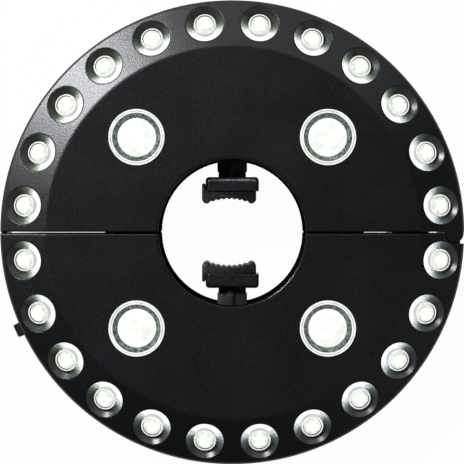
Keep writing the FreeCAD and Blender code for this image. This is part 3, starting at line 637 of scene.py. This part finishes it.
# Painted light: the bowls glow by their lean in place of reflecting their lamps.
CUP_BOWL = LitBowl("cup_bowl_painted_glow")
STEEL = BrightMetal("zinc_steel", (0.55, 0.56, 0.57), roughness=0.28, mark=0.0009)
CONTACT_PLATE = BrightMetal(
    "contact_nickel", (0.68, 0.66, 0.6), roughness=0.22, mark=0.001, mark_depth=0.000005,
)
LAMP_CORE = LitPlastic("lamp_core_glow", (0.99, 0.99, 0.96), (0.9, 0.92, 0.85), (0.1, 0.1, 0.09))
LAMP_CORE_EDGE = LitPlastic("lamp_core_edge_glow", (0.87, 0.89, 0.83), (0.62, 0.67, 0.58), (0.1, 0.1, 0.09))
LAMP_RING = LitPlastic("lamp_ring_glow", (0.88, 0.89, 0.87), (0.66, 0.69, 0.66))
LAMP_GROOVE_WALL = LitPlastic("lamp_groove_wall", (0.02, 0.024, 0.022), (0.1, 0.12, 0.11), (0.02, 0.02, 0.02))
LAMP_GROOVE = LitPlastic("lamp_groove", (0.4, 0.45, 0.44), (0.2, 0.24, 0.23), (0.03, 0.03, 0.03))
LAMP_BARREL = LampSide("lamp_barrel_clear")
SPOT_DOME = LitPlastic("spot_dome_glow", (0.98, 0.99, 0.97), (0.84, 0.87, 0.79), ripple=0.0045)
SPOT_RIDGE = LitPlastic("spot_ridge_glow", (0.96, 0.97, 0.94), (0.74, 0.77, 0.7), ripple=0.006)
SPOT_FLANGE = LitPlastic("spot_flange_clear", (0.95, 0.95, 0.94), (0.8, 0.82, 0.78), ripple=0.003)
SPOT_LINE = LitPlastic(
    "spot_flange_line", (0.3, 0.28, 0.29), (0.7, 0.69, 0.68), (0.05, 0.05, 0.05), ripple=0.007,
)
SPOT_CONE = MottledMirror("spot_cone_mottled")
BOARD = CircuitBoard("circuit_board_green")
JACKET = CellJacket("cell_jacket")


# Mesh making ------------------------------


Ring = list[bmesh.types.BMVert]
Edges = list[bmesh.types.BMEdge]


@dataclass(frozen=True)
class Turn:
    """One point of a section that is turned about an axis, in millimetres."""

    radius: float
    height: float
    finish: Finish


@dataclass
class Form:
    """A mesh being built, in millimetres, for one piece."""

    name: str
    finishes: tuple[Finish, ...]
    mesh: bmesh.types.BMesh = field(default_factory=bmesh.new)

    def lathe(self, section: Sequence[Turn], place: Matrix, segments: int = 64) -> None:
        """Turns a section about the Z axis and sets it in place.

        Args:
            section: points from one end to the other, each with the finish of the strip after it; ends that
                aren't on the axis are joined to each other.
            place: matrix from the section's own frame to the ring's, in millimetres.
            segments: steps in one turn.
        """
        rings = [self._ring(turn, place, segments) for turn in section]
        pairs = list(zip(rings, rings[1:], section))
        if section[0].radius > 0.0:
            pairs.append((rings[-1], rings[0], section[-1]))
        for first, second, turn in pairs:
            for face in self.join(first, second):
                face.material_index = self.finishes.index(turn.finish)

    def join(self, first: Ring, second: Ring) -> list[bmesh.types.BMFace]:
        """Joins two rings of corners, either of which may be a single corner.

        Args:
            first: corners of one ring.
            second: corners of the other.

        Returns:
            The faces between them.
        """
        count = max(len(first), len(second))
        faces = []
        for i in range(count):
            j = (i + 1) % count
            corners = (
                first[i % len(first)], first[j % len(first)],
                second[j % len(second)], second[i % len(second)],
            )
            faces.append(self.mesh.faces.new(list(dict.fromkeys(corners))))
        return faces

    def _ring(self, turn: Turn, place: Matrix, segments: int) -> Ring:
        """Corners of one turned point in order; a point on the axis has one corner."""
        count = segments if turn.radius > 0.0 else 1
        spots = (polar(turn.radius, 360.0 * i / count) for i in range(count))
        return [self.mesh.verts.new(place @ Vector((x, y, turn.height))) for x, y in spots]

    def prism(self, outline: Sequence[Point], low: float, high: float) -> Edges:
        """Upright block over an outline in the XY plane; gives the edges round its foot and top."""
        return self.stack([(outline, low), (outline, high)])

    def stack(self, levels: Sequence[tuple[Sequence[Point], float]]) -> Edges:
        """Upright block through outlines of the same count.

        Args:
            levels: each outline in the XY plane with its height, from the foot up.

        Returns:
            The edges round its foot and top.
        """
        rings = [[self.mesh.verts.new((x, y, height)) for x, y in outline] for outline, height in levels]
        ends = [self.mesh.faces.new(rings[0][::-1]), self.mesh.faces.new(rings[-1])]
        for low, high in zip(rings, rings[1:]):
            self.join(low, high)
        return [edge for face in ends for edge in face.edges]

    def soften(self, edges: Edges, width: float) -> None:
        """Rounds edges by a width, in two facets."""
        bmesh.ops.bevel(
            self.mesh, geom=edges, offset=width, segments=2, profile=0.5, affect="EDGES", clamp_overlap=True,
        )

    def piece(self, crease: float = 40.0) -> bpy.types.Object:
        """Ends the mesh and makes its object.

        Args:
            crease: angle in degrees above which an edge stays sharp.

        Returns:
            The object, in metres, at the origin.
        """
        bmesh.ops.recalc_face_normals(self.mesh, faces=self.mesh.faces)
        bmesh.ops.scale(self.mesh, vec=(MM, MM, MM), verts=self.mesh.verts)
        for edge in self.mesh.edges:
            sharp = len(edge.link_faces) == 2 and edge.calc_face_angle(0.0) > math.radians(crease)
            edge.smooth = not sharp
        for face in self.mesh.faces:
            face.smooth = True
        data = bpy.data.meshes.new(self.name)
        self.mesh.to_mesh(data)
        self.mesh.free()
        for finish in self.finishes:
            data.materials.append(finish.material())
        return linked(self.name, data)


def linked(name: str, data: Any) -> bpy.types.Object:
    """Adds a new object to the scene.

    Args:
        name: its name.
        data: its mesh, light or camera.

    Returns:
        The object.
    """
    obj = bpy.data.objects.new(name, data)
    bpy.context.scene.collection.objects.link(obj)
    return obj


def polar(radius: float, degrees: float) -> Point:
    """X and Y of a place given by its radius and angle."""
    return radius * math.cos(math.radians(degrees)), radius * math.sin(math.radians(degrees))


def dress(frame: dict[str, Any], finishes: dict[str, Finish]) -> list[str]:
    """Gives every material slot of some CAD nodes their finish.

    Args:
        frame: the loaded frame.
        finishes: each node's finish by the node's name.

    Returns:
        The names of the nodes.
    """
    for node, finish in finishes.items():
        obj = frame["nodes"][node]
        if not obj.material_slots:
            obj.data.materials.append(finish.material())
        for slot in obj.material_slots:
            slot.material = finish.material()
    return list(finishes)


# Sub-assemblies ------------------------------


@dataclass
class Housing:
    """Covers, doors, hooks and fasteners, which keep their CAD shapes."""

    frame: dict[str, Any]
    finishes: dict[str, Finish] = field(default_factory=lambda: {
        "front_cover": HOUSING,
        "back_cover": HOUSING,
        "battery_door": HOUSING,
        "hook": JAW_BLACK,
        "hook_pin": STEEL,
        "housing_screws": STEEL,
        "battery_cells": JACKET,
        "battery_contacts": CONTACT_PLATE,
        "rim_board": BOARD,
        "spot_boards": BOARD,
    })

    def build(self, side: Side) -> list[str]:
        """Gives one half's kept nodes their finishes and names them."""
        return dress(self.frame, {side.node(part): finish for part, finish in self.finishes.items()})


@dataclass
class RimLamps:
    """Bright cups set square on the sloping rim band, each with its lit lamp.

    The lip and the lamp's face are points with their inset from the edge and their height.
    """

    per_half: int = 12
    circle: float = 92.4
    band_start: float = 82.0
    band_end: float = 102.5
    band_drop: float = 7.2
    face_height: float = 45.0
    cup_radius: float = 8.3
    cup_depth: float = 4.2
    skirt_inset: float = 0.2
    lip: tuple[Point, ...] = ((0.1, -0.4), (0.0, -0.05), (0.0, 0.06))
    bowl_mouth: Point = (8.27, 0.08)
    bowl_foot: Point = (5.0, -2.8)
    bowl_steps: int = 8
    cup_segments: int = 96
    lamp_radius: float = 4.85
    lamp_length: float = 9.0
    lamp_crown: float = 0.2
    lamp_face: tuple[tuple[float, float, Finish], ...] = (
        (0.0, -0.6, LAMP_BARREL), (0.05, -0.3, LAMP_RING), (0.25, -0.08, LAMP_RING), (0.45, 0.0, LAMP_RING),
        (0.68, -0.06, LAMP_GROOVE_WALL), (0.74, -1.1, LAMP_GROOVE), (1.1, -1.1, LAMP_CORE_EDGE),
        (1.2, -0.14, LAMP_CORE_EDGE), (1.5, -0.02, LAMP_CORE_EDGE), (1.9, 0.03, LAMP_CORE_EDGE),
        (2.3, 0.08, LAMP_CORE), (2.9, 0.13, LAMP_CORE), (3.9, 0.18, LAMP_CORE),
    )

    def places(self, side: Side) -> list[Matrix]:
        """Frames of one half's lamps: on the band, square to it.

        Args:
            side: the half.

        Returns:
            One matrix per lamp, in millimetres.
        """
        slope = math.atan2(self.band_drop, self.band_end - self.band_start)
        height = self.face_height - (self.circle - self.band_start) * math.tan(slope)
        seat = Matrix.Translation((self.circle, 0.0, height)) @ Matrix.Rotation(slope, 4, "Y")
        angles = (side.half_turn + (i + 0.5) * 180.0 / self.per_half for i in range(self.per_half))
        return [Matrix.Rotation(math.radians(angle), 4, "Z") @ seat for angle in angles]

    def cup_section(self) -> list[Turn]:
        """Outer skirt, dark lip and bright conical bowl.

        Returns:
            The cup's section, in millimetres.
        """
        (mouth, top), (foot, bottom) = self.bowl_mouth, self.bowl_foot
        section = [Turn(self.cup_radius - self.skirt_inset, -self.cup_depth, CUP_EDGE)]
        section += [Turn(self.cup_radius - inset, height, CUP_EDGE) for inset, height in self.lip]
        for i in range(self.bowl_steps + 1):
            share = i / self.bowl_steps
            section.append(Turn(mouth + (foot - mouth) * share, top + (bottom - top) * share, CUP_BOWL))
        section.append(Turn(foot, -self.cup_depth, CUP_EDGE))
        return section

    def lamp_section(self) -> list[Turn]:
        """Barrel, bright edge ring, grey groove and domed core.

        Returns:
            The lamp's section, in millimetres.
        """
        edge = self.lamp_radius
        section = [Turn(0.0, -self.lamp_length, LAMP_BARREL), Turn(edge, -self.lamp_length, LAMP_BARREL)]
        section += [Turn(edge - inset, height, finish) for inset, height, finish in self.lamp_face]
        section.append(Turn(0.0, self.lamp_crown, LAMP_CORE))
        return section

    def build(self, side: Side) -> list[str]:
        """Makes one half's cups and lamps in place of their CAD nodes.

        Args:
            side: the half.

        Returns:
            The names of its pieces.
        """
        cups = Form(side.node("bright_cups"), (CUP_BOWL, CUP_EDGE))
        lamps = Form(side.node("lit_rim_lamps"), (
            LAMP_BARREL, LAMP_RING, LAMP_GROOVE_WALL, LAMP_GROOVE, LAMP_CORE_EDGE, LAMP_CORE,
        ))
        for place in self.places(side):
            cups.lathe(self.cup_section(), place, self.cup_segments)
            lamps.lathe(self.lamp_section(), place)
        cup_piece = cups.piece()
        lamp_piece = lamps.piece()
        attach(cup_piece, side.body)
        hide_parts(side.node("rim_reflectors"))
        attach(lamp_piece, side.body)
        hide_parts(side.node("rim_lamps"))
        return [cup_piece.name, lamp_piece.name]


@dataclass
class SpotLamps:
    """Large lamps in the face: clear flange ring, mottled cone and ridged dome.

    The flange and mouth are points with their inset from the edge and their drop from the top.
    """

    angles: tuple[float, float] = (45.0, 135.0)
    circle: float = 59.2
    face_height: float = 45.0
    depth: float = 11.0
    flange_radius: float = 12.25
    flange_height: float = 0.8
    flange: tuple[tuple[float, float, Finish], ...] = (
        (0.0, 0.4, SPOT_FLANGE), (0.12, 0.12, SPOT_FLANGE), (0.35, 0.0, SPOT_FLANGE),
        (0.72, 0.02, SPOT_LINE), (0.8, 0.15, SPOT_LINE), (0.96, 0.15, SPOT_LINE), (1.04, 0.02, SPOT_FLANGE),
    )
    body_radius: float = 10.9
    mouth_radius: float = 10.6
    mouth: tuple[tuple[float, float, Finish], ...] = (
        (-0.3, 0.02, SPOT_FLANGE), (-0.12, 0.1, SPOT_FLANGE), (0.0, 0.35, SPOT_CONE), (0.5, 1.3, SPOT_CONE),
    )
    mouth_depth: float = 2.2
    cone_foot: Point = (0.35, 0.4)
    lens_gap: float = 0.1
    lens_radius: float = 8.4
    lens_edge: float = 0.6
    lens_length: float = 7.0
    lens_round: Point = (0.15, 0.3)
    dome: float = 2.5
    dome_power: float = 2.2
    shoulder: tuple[float, ...] = (0.5, 1.0, 1.6, 2.2)
    ridges: tuple[float, ...] = (5.9, 4.6, 3.0)
    ridge_rise: float = 0.09
    ridge_sides: Point = (0.2, 0.25)
    crown_radius: float = 1.2
    segments: int = 96

    def places(self, side: Side) -> list[Matrix]:
        """Frames of one half's spot lamps, on the face.

        Args:
            side: the half.

        Returns:
            One matrix per lamp, in millimetres.
        """
        seat = Matrix.Translation((self.circle, 0.0, self.face_height))
        angles = (math.radians(angle + side.half_turn) for angle in self.angles)
        return [Matrix.Rotation(angle, 4, "Z") @ seat for angle in angles]

    def ring_section(self) -> list[Turn]:
        """Barrel, flange with its fine line, and cone.

        Returns:
            The ring's section, in millimetres.
        """
        top, edge = self.flange_height, self.flange_radius
        foot = self.lens_radius + self.lens_gap
        inset, rise = self.cone_foot
        section = [
            Turn(foot, -self.depth, SPOT_FLANGE),
            Turn(self.body_radius, -self.depth, SPOT_FLANGE),
            Turn(self.body_radius, 0.0, SPOT_FLANGE),
            Turn(edge, 0.0, SPOT_FLANGE),
        ]
        for outer, points in ((edge, self.flange), (self.mouth_radius, self.mouth)):
            section += [Turn(outer - inward, top - drop, finish) for inward, drop, finish in points]
        section.append(Turn(self.lens_radius + inset, rise - self.mouth_depth, SPOT_CONE))
        section.append(Turn(foot, -self.mouth_depth, SPOT_CONE))
        return section

    def dome_height(self, radius: float) -> float:
        """Height of the dome at a radius, from the face."""
        share = radius / self.lens_radius
        return self.lens_edge - self.mouth_depth + self.dome * (1.0 - share ** self.dome_power)

    def lens_section(self) -> list[Turn]:
        """Barrel and dome with its fine ridges.

        Returns:
            The lens's section, in millimetres.
        """
        edge = self.lens_radius
        rim_height = self.lens_edge - self.mouth_depth
        inset, drop = self.lens_round
        before, after = self.ridge_sides
        section = [
            Turn(0.0, rim_height - self.lens_length, SPOT_DOME),
            Turn(edge, rim_height - self.lens_length, SPOT_DOME),
            Turn(edge, rim_height - drop, SPOT_DOME),
            Turn(edge - inset, rim_height, SPOT_DOME),
        ]
        section += [self.on_dome(edge - inward) for inward in self.shoulder]
        for ridge in self.ridges:
            section.append(self.on_dome(ridge + before, SPOT_RIDGE))
            section.append(Turn(ridge, self.dome_height(ridge) + self.ridge_rise, SPOT_RIDGE))
            section.append(self.on_dome(ridge - after))
        return section + [self.on_dome(self.crown_radius), self.on_dome(0.0)]

    def on_dome(self, radius: float, finish: Finish = SPOT_DOME) -> Turn:
        """The section's point on the dome at a radius."""
        return Turn(radius, self.dome_height(radius), finish)

    def build(self, side: Side) -> list[str]:
        """Makes one half's spot rings and domes in place of their CAD nodes.

        Args:
            side: the half.

        Returns:
            The names of its pieces.
        """
        rings = Form(side.node("spot_rings"), (SPOT_FLANGE, SPOT_LINE, SPOT_CONE))
        domes = Form(side.node("lit_spot_domes"), (SPOT_DOME, SPOT_RIDGE))
        for place in self.places(side):
            rings.lathe(self.ring_section(), place, self.segments)
            domes.lathe(self.lens_section(), place, self.segments)
        ring_piece = rings.piece()
        dome_piece = domes.piece()
        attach(ring_piece, side.body)
        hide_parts(side.node("spot_reflectors"))
        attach(dome_piece, side.body)
        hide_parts(side.node("spot_lenses"))
        return [ring_piece.name, dome_piece.name]


@dataclass
class Jaw:
    """Sprung slider with its toothed rubber pad; its sizes are the upper one's."""

    plate_half: float = 11.8
    plate_y: tuple[float, float] = (18.4, 24.6)
    plate_z: tuple[float, float] = (14.0, 36.0)
    plate_round: float = 1.6
    plate_edge: float = 1.8
    edge_steps: int = 6
    # Depth below the plate's top of the painted highlight strip.
    highlight_depth: float = 0.3
    stem_half: float = 6.6
    neck_half: float = 6.1
    neck_end: float = 27.1
    stem_z: tuple[float, float] = (19.0, 31.0)
    stem_end: float = 52.0
    rib_x: tuple[float, float] = (-1.75, 0.75)
    rib_height: float = 1.0
    overlap: float = 1.0
    stem_soft: float = 0.35
    rib_soft: float = 0.3
    ear_half: float = 9.3
    ear_y: tuple[float, float] = (35.7, 38.7)
    pad_offset: float = -1.4
    pad_half: float = 12.0
    pad_face: float = 14.85
    pad_arc: float = 25.5
    pad_round: float = 2.1
    pad_wrap: float = 21.8
    pad_z: tuple[float, float] = (14.6, 35.4)
    pad_soft: float = 0.22
    pad_crease: float = 50.0
    wrap_gap: float = 0.1
    wrap_cut: float = 0.5
    wrap_end_cut: float = 0.6
    grooves: int = 8
    groove_pitch: float = 2.35
    groove_radius: float = 0.85
    groove_depth: float = 0.8
    groove_steps: int = 6
    corner_steps: int = 5

    def build(self, side: Side) -> list[str]:
        """Makes one half's slider and pad in place of their CAD nodes.

        Args:
            side: the half.

        Returns:
            The names of its pieces.
        """
        body = side.node("jaw")
        slider = self.slider(side)
        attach(slider, body)
        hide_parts(side.node("jaw_slider"))
        pad = self.pad(side)
        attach(pad, body)
        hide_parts(side.node("jaw_pad"))
        return [slider.name, pad.name]

    def slider(self, side: Side) -> bpy.types.Object:
        """Back plate, ribbed stem and stop ears, with rounded edges.

        Args:
            side: the half.

        Returns:
            The slider.
        """
        form = Form(side.node("ribbed_slider"), (JAW_BLACK, JAW_PAINTED_HIGHLIGHT))
        start = self.plate_y[1] - self.overlap
        low, high = self.plate_z
        levels = []
        for i in range(self.edge_steps + 1):
            dx, dz = polar(self.plate_edge, 90.0 * i / self.edge_steps)
            outline = self.on_side(self.plate_outline(self.plate_edge - dx), side)
            levels.append((outline, self.plate_edge - dz))
        form.stack(
            [(outline, low + inset) for outline, inset in reversed(levels)]
            + [(outline, high - inset) for outline, inset in levels]
        )
        for half_width, y_range in (
            (self.neck_half, (start, self.neck_end)),
            (self.stem_half, (self.neck_end, self.stem_end)),
            (self.ear_half, self.ear_y),
        ):
            block = self.on_side(self.block((-half_width, half_width), y_range), side)
            form.soften(form.prism(block, *self.stem_z), self.stem_soft)
        rib = self.on_side(self.block(self.rib_x, (start, self.stem_end)), side)
        low, high = self.stem_z[0] - self.rib_height, self.stem_z[1] + self.rib_height
        form.soften(form.prism(rib, low, high), self.rib_soft)
        # Painted highlight on the upper plate's back edge only.
        if side is Side.UPPER:
            self.paint_edge_highlight(form)
        return form.piece()

    def paint_edge_highlight(self, form: Form) -> None:
        """Marks the strip of the upper plate's back edge that gets a painted highlight, a pale colour in place
        of the light that catches its rounded edge.

        Args:
            form: the slider's mesh.
        """
        back, top = self.plate_y[1], self.plate_z[1]
        for face in form.mesh.faces:
            centre = face.calc_center_median()
            along = back - self.plate_edge < centre.y < back - self.plate_edge / 2.0
            if along and top - self.highlight_depth < centre.z < top - MM:
                face.material_index = form.finishes.index(JAW_PAINTED_HIGHLIGHT)

    def plate_outline(self, inset: float) -> list[Point]:
        """Outline of the upper back plate, drawn in by an inset everywhere but at its front.

        Args:
            inset: how far it is drawn in.

        Returns:
            The outline, anticlockwise.
        """
        front, back = self.plate_y
        half = self.plate_half - inset
        round_by = self.plate_round
        outline = [(-half, front), (half, front)]
        outline += self.corner(half - round_by, back - inset - round_by, round_by, 0.0)
        outline += self.corner(-half + round_by, back - inset - round_by, round_by, 90.0)
        return outline

    def pad(self, side: Side) -> bpy.types.Object:
        """Concave toothed pad, wrapped round one end of the plate.

        Args:
            side: the half.

        Returns:
            The pad.
        """
        form = Form(side.node("toothed_pad"), (PAD_RUBBER,))
        edges = form.prism(self.on_side(self.pad_outline(), side), *self.pad_z)
        form.soften(edges, self.pad_soft)
        return form.piece(self.pad_crease)

    def pad_outline(self) -> list[Point]:
        """Outline of the upper pad, from its wrapped end round the toothed face.

        Returns:
            The outline, anticlockwise.
        """
        left, right = self.pad_offset - self.pad_half, self.pad_offset + self.pad_half
        centre_y = self.pad_face - self.pad_arc
        front = self.plate_y[0]
        round_by = self.pad_round
        tip_y = centre_y + math.sqrt(self.pad_arc ** 2 - (self.pad_half - round_by) ** 2)
        inner = -self.plate_half - self.wrap_gap
        outline = [
            (right, front),
            (inner, front),
            (inner, self.pad_wrap - self.wrap_cut),
            (-self.plate_half - self.wrap_cut, self.pad_wrap),
            (left + self.wrap_cut, self.pad_wrap),
            (left, self.pad_wrap - self.wrap_end_cut),
        ]
        outline += self.corner(left + round_by, tip_y + round_by, round_by, 180.0)
        outline += self.toothed_arc(centre_y)
        outline += self.corner(right - round_by, tip_y + round_by, round_by, 270.0)
        return outline

    def toothed_arc(self, centre_y: float) -> list[Point]:
        """Points along the concave face from left to right, in and out of its grooves.

        Args:
            centre_y: Y of the face's centre of curvature.

        Returns:
            The points.
        """
        pitch = math.degrees(self.groove_pitch / self.pad_arc)
        chord = math.sqrt(self.groove_radius ** 2 - (self.groove_radius - self.groove_depth) ** 2)
        half_groove = math.degrees(chord / self.pad_arc)
        points = []
        for i in reversed(range(self.grooves)):
            middle = 90.0 + (i - (self.grooves - 1) / 2.0) * pitch
            for step in range(self.groove_steps + 1):
                share = 2.0 * step / self.groove_steps - 1.0
                depth = self.groove_depth * math.sqrt(max(0.0, 1.0 - share ** 2))
                x, y = polar(self.pad_arc + depth, middle - share * half_groove)
                points.append((self.pad_offset + x, centre_y + y))
        return points

    def corner(self, x: float, y: float, radius: float, start: float) -> list[Point]:
        """Points of a quarter round about (x, y), anticlockwise from a start angle in degrees."""
        turns = (polar(radius, start + 90.0 * i / self.corner_steps) for i in range(self.corner_steps + 1))
        return [(x + dx, y + dy) for dx, dy in turns]

    @staticmethod
    def block(x_range: Point, y_range: Point) -> list[Point]:
        """Corners of a rectangle, anticlockwise."""
        (left, right), (near, end) = x_range, y_range
        return [(left, near), (right, near), (right, end), (left, end)]

    @staticmethod
    def on_side(outline: Sequence[Point], side: Side) -> list[Point]:
        """The upper half's outline, or its mirror image across the seam, kept anticlockwise."""
        return list(outline) if side is Side.UPPER else [(x, -y) for x, y in reversed(outline)]


@dataclass
class JawSpring:
    """Round-wire coil spring between the stem and the end of its channel."""

    radius: float = 4.0
    wire: float = 0.45
    turns: float = 5.0
    start: float = 52.1
    end: float = 67.9
    height: float = 25.0
    travel: float = 8.0
    wire_steps: int = 8
    turn_steps: int = 28
    crease: float = 60.0

    def build(self, side: Side) -> list[str]:
        """Makes one half's spring.

        Args:
            side: the half.

        Returns:
            The names of its pieces.
        """
        form = Form(side.node("coil_spring"), (STEEL,))
        count = int(self.turns * self.turn_steps)
        rings = []
        for i in range(count + 1):
            share = i / count
            angle = 2.0 * math.pi * self.turns * share
            along = self.start + self.wire + (self.end - self.start - 2.0 * self.wire) * share
            out = Vector((math.cos(angle), 0.0, math.sin(angle)))
            centre = Vector((0.0, along * side.sign, self.height)) + self.radius * out
            turns = (polar(self.wire, 360.0 * j / self.wire_steps) for j in range(self.wire_steps))
            rings.append([form.mesh.verts.new(centre + out * x + Vector((0.0, y, 0.0))) for x, y in turns])
        for first, second in zip(rings, rings[1:]):
            form.join(first, second)
        form.mesh.faces.new(rings[0])
        form.mesh.faces.new(rings[-1])
        spring = form.piece(self.crease)
        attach(spring, side.body)
        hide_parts(side.node("jaw_spring"))
        self.height * MM
        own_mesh(spring)
        return [spring.name]


@dataclass
class Controls:
    """Power button with its switch and board, and the catch and pin of the seam."""

    frame: dict[str, Any]
    finishes: dict[str, Finish] = field(default_factory=lambda: {
        "power_button": BUTTON_BLACK,
        "switch_plunger": BUTTON_BLACK,
        "mode_switch": SWITCH_GREY,
        "control_board": BOARD,
        "catch_spring": STEEL,
        "hinge_pin": STEEL,
    })

    def build(self) -> list[str]:
        """Gives the kept nodes their finishes and names them."""
        return dress(self.frame, self.finishes)


@dataclass(frozen=True)
class Softbox:
    """Square soft light that faces the ring's middle, placed in metres and degrees."""

    name: str
    bearing: float
    tilt: float
    size: float
    power: float
    colour: Colour = WHITE
    distance: float = 2.0

    def build(self) -> None:
        """Makes the light and turns it to the ring."""
        data = bpy.data.lights.new(self.name, "AREA")
        data.shape = "SQUARE"
        data.size = self.size
        data.energy = self.power
        data.color = self.colour
        x, y = polar(math.sin(math.radians(self.tilt)), self.bearing)
        direction = Vector((x, y, math.cos(math.radians(self.tilt))))
        lamp = linked(self.name, data)
        lamp.location = direction * self.distance
        lamp.rotation_euler = direction.to_track_quat("Z", "Y").to_euler()


@dataclass
class Studio:
    """White table, soft key light from the upper left, weak fills and the camera over the ring."""

    camera_height: float = 0.825
    camera_offset: float = 0.0105
    aim: tuple[float, float, float] = (-0.0001, 0.0003, 0.0385)
    focus: float = 138.4
    sensor: float = 36.0
    nearest: float = 0.05
    softboxes: tuple[Softbox, ...] = (
        Softbox("key_softbox", bearing=135.0, tilt=46.6, size=0.64, power=59.0, colour=(0.945, 0.95, 1.0)),
        Softbox("right_fill", bearing=68.0, tilt=46.0, size=1.4, power=5.0),
        Softbox("low_fill", bearing=-35.0, tilt=42.0, size=1.4, power=1.3),
    )
    floor_size: float = 6.0
    floor_height: float = -0.0005
    floor_shine: float = 0.97
    floor_matt: Colour = (0.8, 0.8, 0.8)
    horizon: Colour = (0.1, 0.1, 0.1)
    zenith: Colour = (0.03, 0.03, 0.031)
    fade: Point = (0.05, 0.75)

    def build(self) -> None:
        """Makes the table, lights, world and camera."""
        self.floor()
        for softbox in self.softboxes:
            softbox.build()
        self.world()
        self.camera()

    def floor(self) -> None:
        """White table that keeps a trace of the object's shadow."""
        mesh = bmesh.new()
        bmesh.ops.create_grid(mesh, x_segments=1, y_segments=1, size=self.floor_size / 2.0)
        data = bpy.data.meshes.new("table")
        mesh.to_mesh(data)
        mesh.free()
        table = linked("table", data)
        table.location.z = self.floor_height
        material = bpy.data.materials.new("white_table")
        graph = Graph(material)
        path = graph.add("ShaderNodeLightPath")
        seen = Signal(graph, path.outputs["Is Camera Ray"]) + Signal(graph, path.outputs["Is Glossy Ray"])
        seen = graph.math("MINIMUM", seen + Signal(graph, path.outputs["Is Transmission Ray"]), 1.0)
        matt = graph.add("ShaderNodeBsdfDiffuse", None, {"Color": self.floor_matt})
        white = graph.add("ShaderNodeEmission", None, {"Color": WHITE, "Strength": 1.0})
        mixed = graph.add("ShaderNodeMixShader", None, {
            0: seen * self.floor_shine, 1: matt.outputs[0], 2: white.outputs[0],
        })
        graph.surface(mixed.outputs[0])
        data.materials.append(material)

    def world(self) -> None:
        """Room that is white to the camera, pale at the horizon and dark overhead for the rest."""
        world = bpy.data.worlds.new("studio")
        bpy.context.scene.world = world
        graph = Graph(world)
        direction = graph.add("ShaderNodeTexCoord").outputs["Generated"]
        where = graph.add("ShaderNodeSeparateXYZ", None, {0: direction})
        height = Signal(graph, where.outputs["Z"]).between(*self.fade)
        room = graph.mix(height, self.horizon, self.zenith)
        path = graph.add("ShaderNodeLightPath")
        seen = graph.mix(Signal(graph, path.outputs["Is Camera Ray"]), room, WHITE)
        background = graph.add("ShaderNodeBackground", None, {"Color": seen, "Strength": 1.0})
        graph.surface(background.outputs[0])

    def camera(self) -> None:
        """Long lens over the ring, a little towards the upper half."""
        data = bpy.data.cameras.new("camera")
        data.lens = self.focus
        data.sensor_width = self.sensor
        data.clip_start = self.nearest
        camera = linked("camera", data)
        camera.location = (self.aim[0], self.aim[1] + self.camera_offset, self.camera_height)
        drop = self.camera_height - self.aim[2]
        camera.rotation_euler = (-math.atan2(self.camera_offset, drop), 0.0, 0.0)
        bpy.context.scene.camera = camera


def report(maker: object, pieces: Iterable[str]) -> None:
    """Logs each piece that a sub-assembly has made or dressed."""
    for piece in pieces:
        LOG.info("%s: %s is ready", type(maker).__name__, piece)


def main() -> None:
    """Loads the frame, builds each sub-assembly in order and sets the studio."""
    logging.basicConfig(level=logging.INFO, format="%(name)s: %(message)s")
    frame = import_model()
    bpy.context.scene.view_settings.view_transform = "Standard"
    makers = (Housing(frame), RimLamps(), SpotLamps(), Jaw(), JawSpring())
    for side in Side:
        for maker in makers:
            report(maker, maker.build(side))
    controls = Controls(frame)
    report(controls, controls.build())
    Studio().build()


if __name__ == "__main__":
    main()
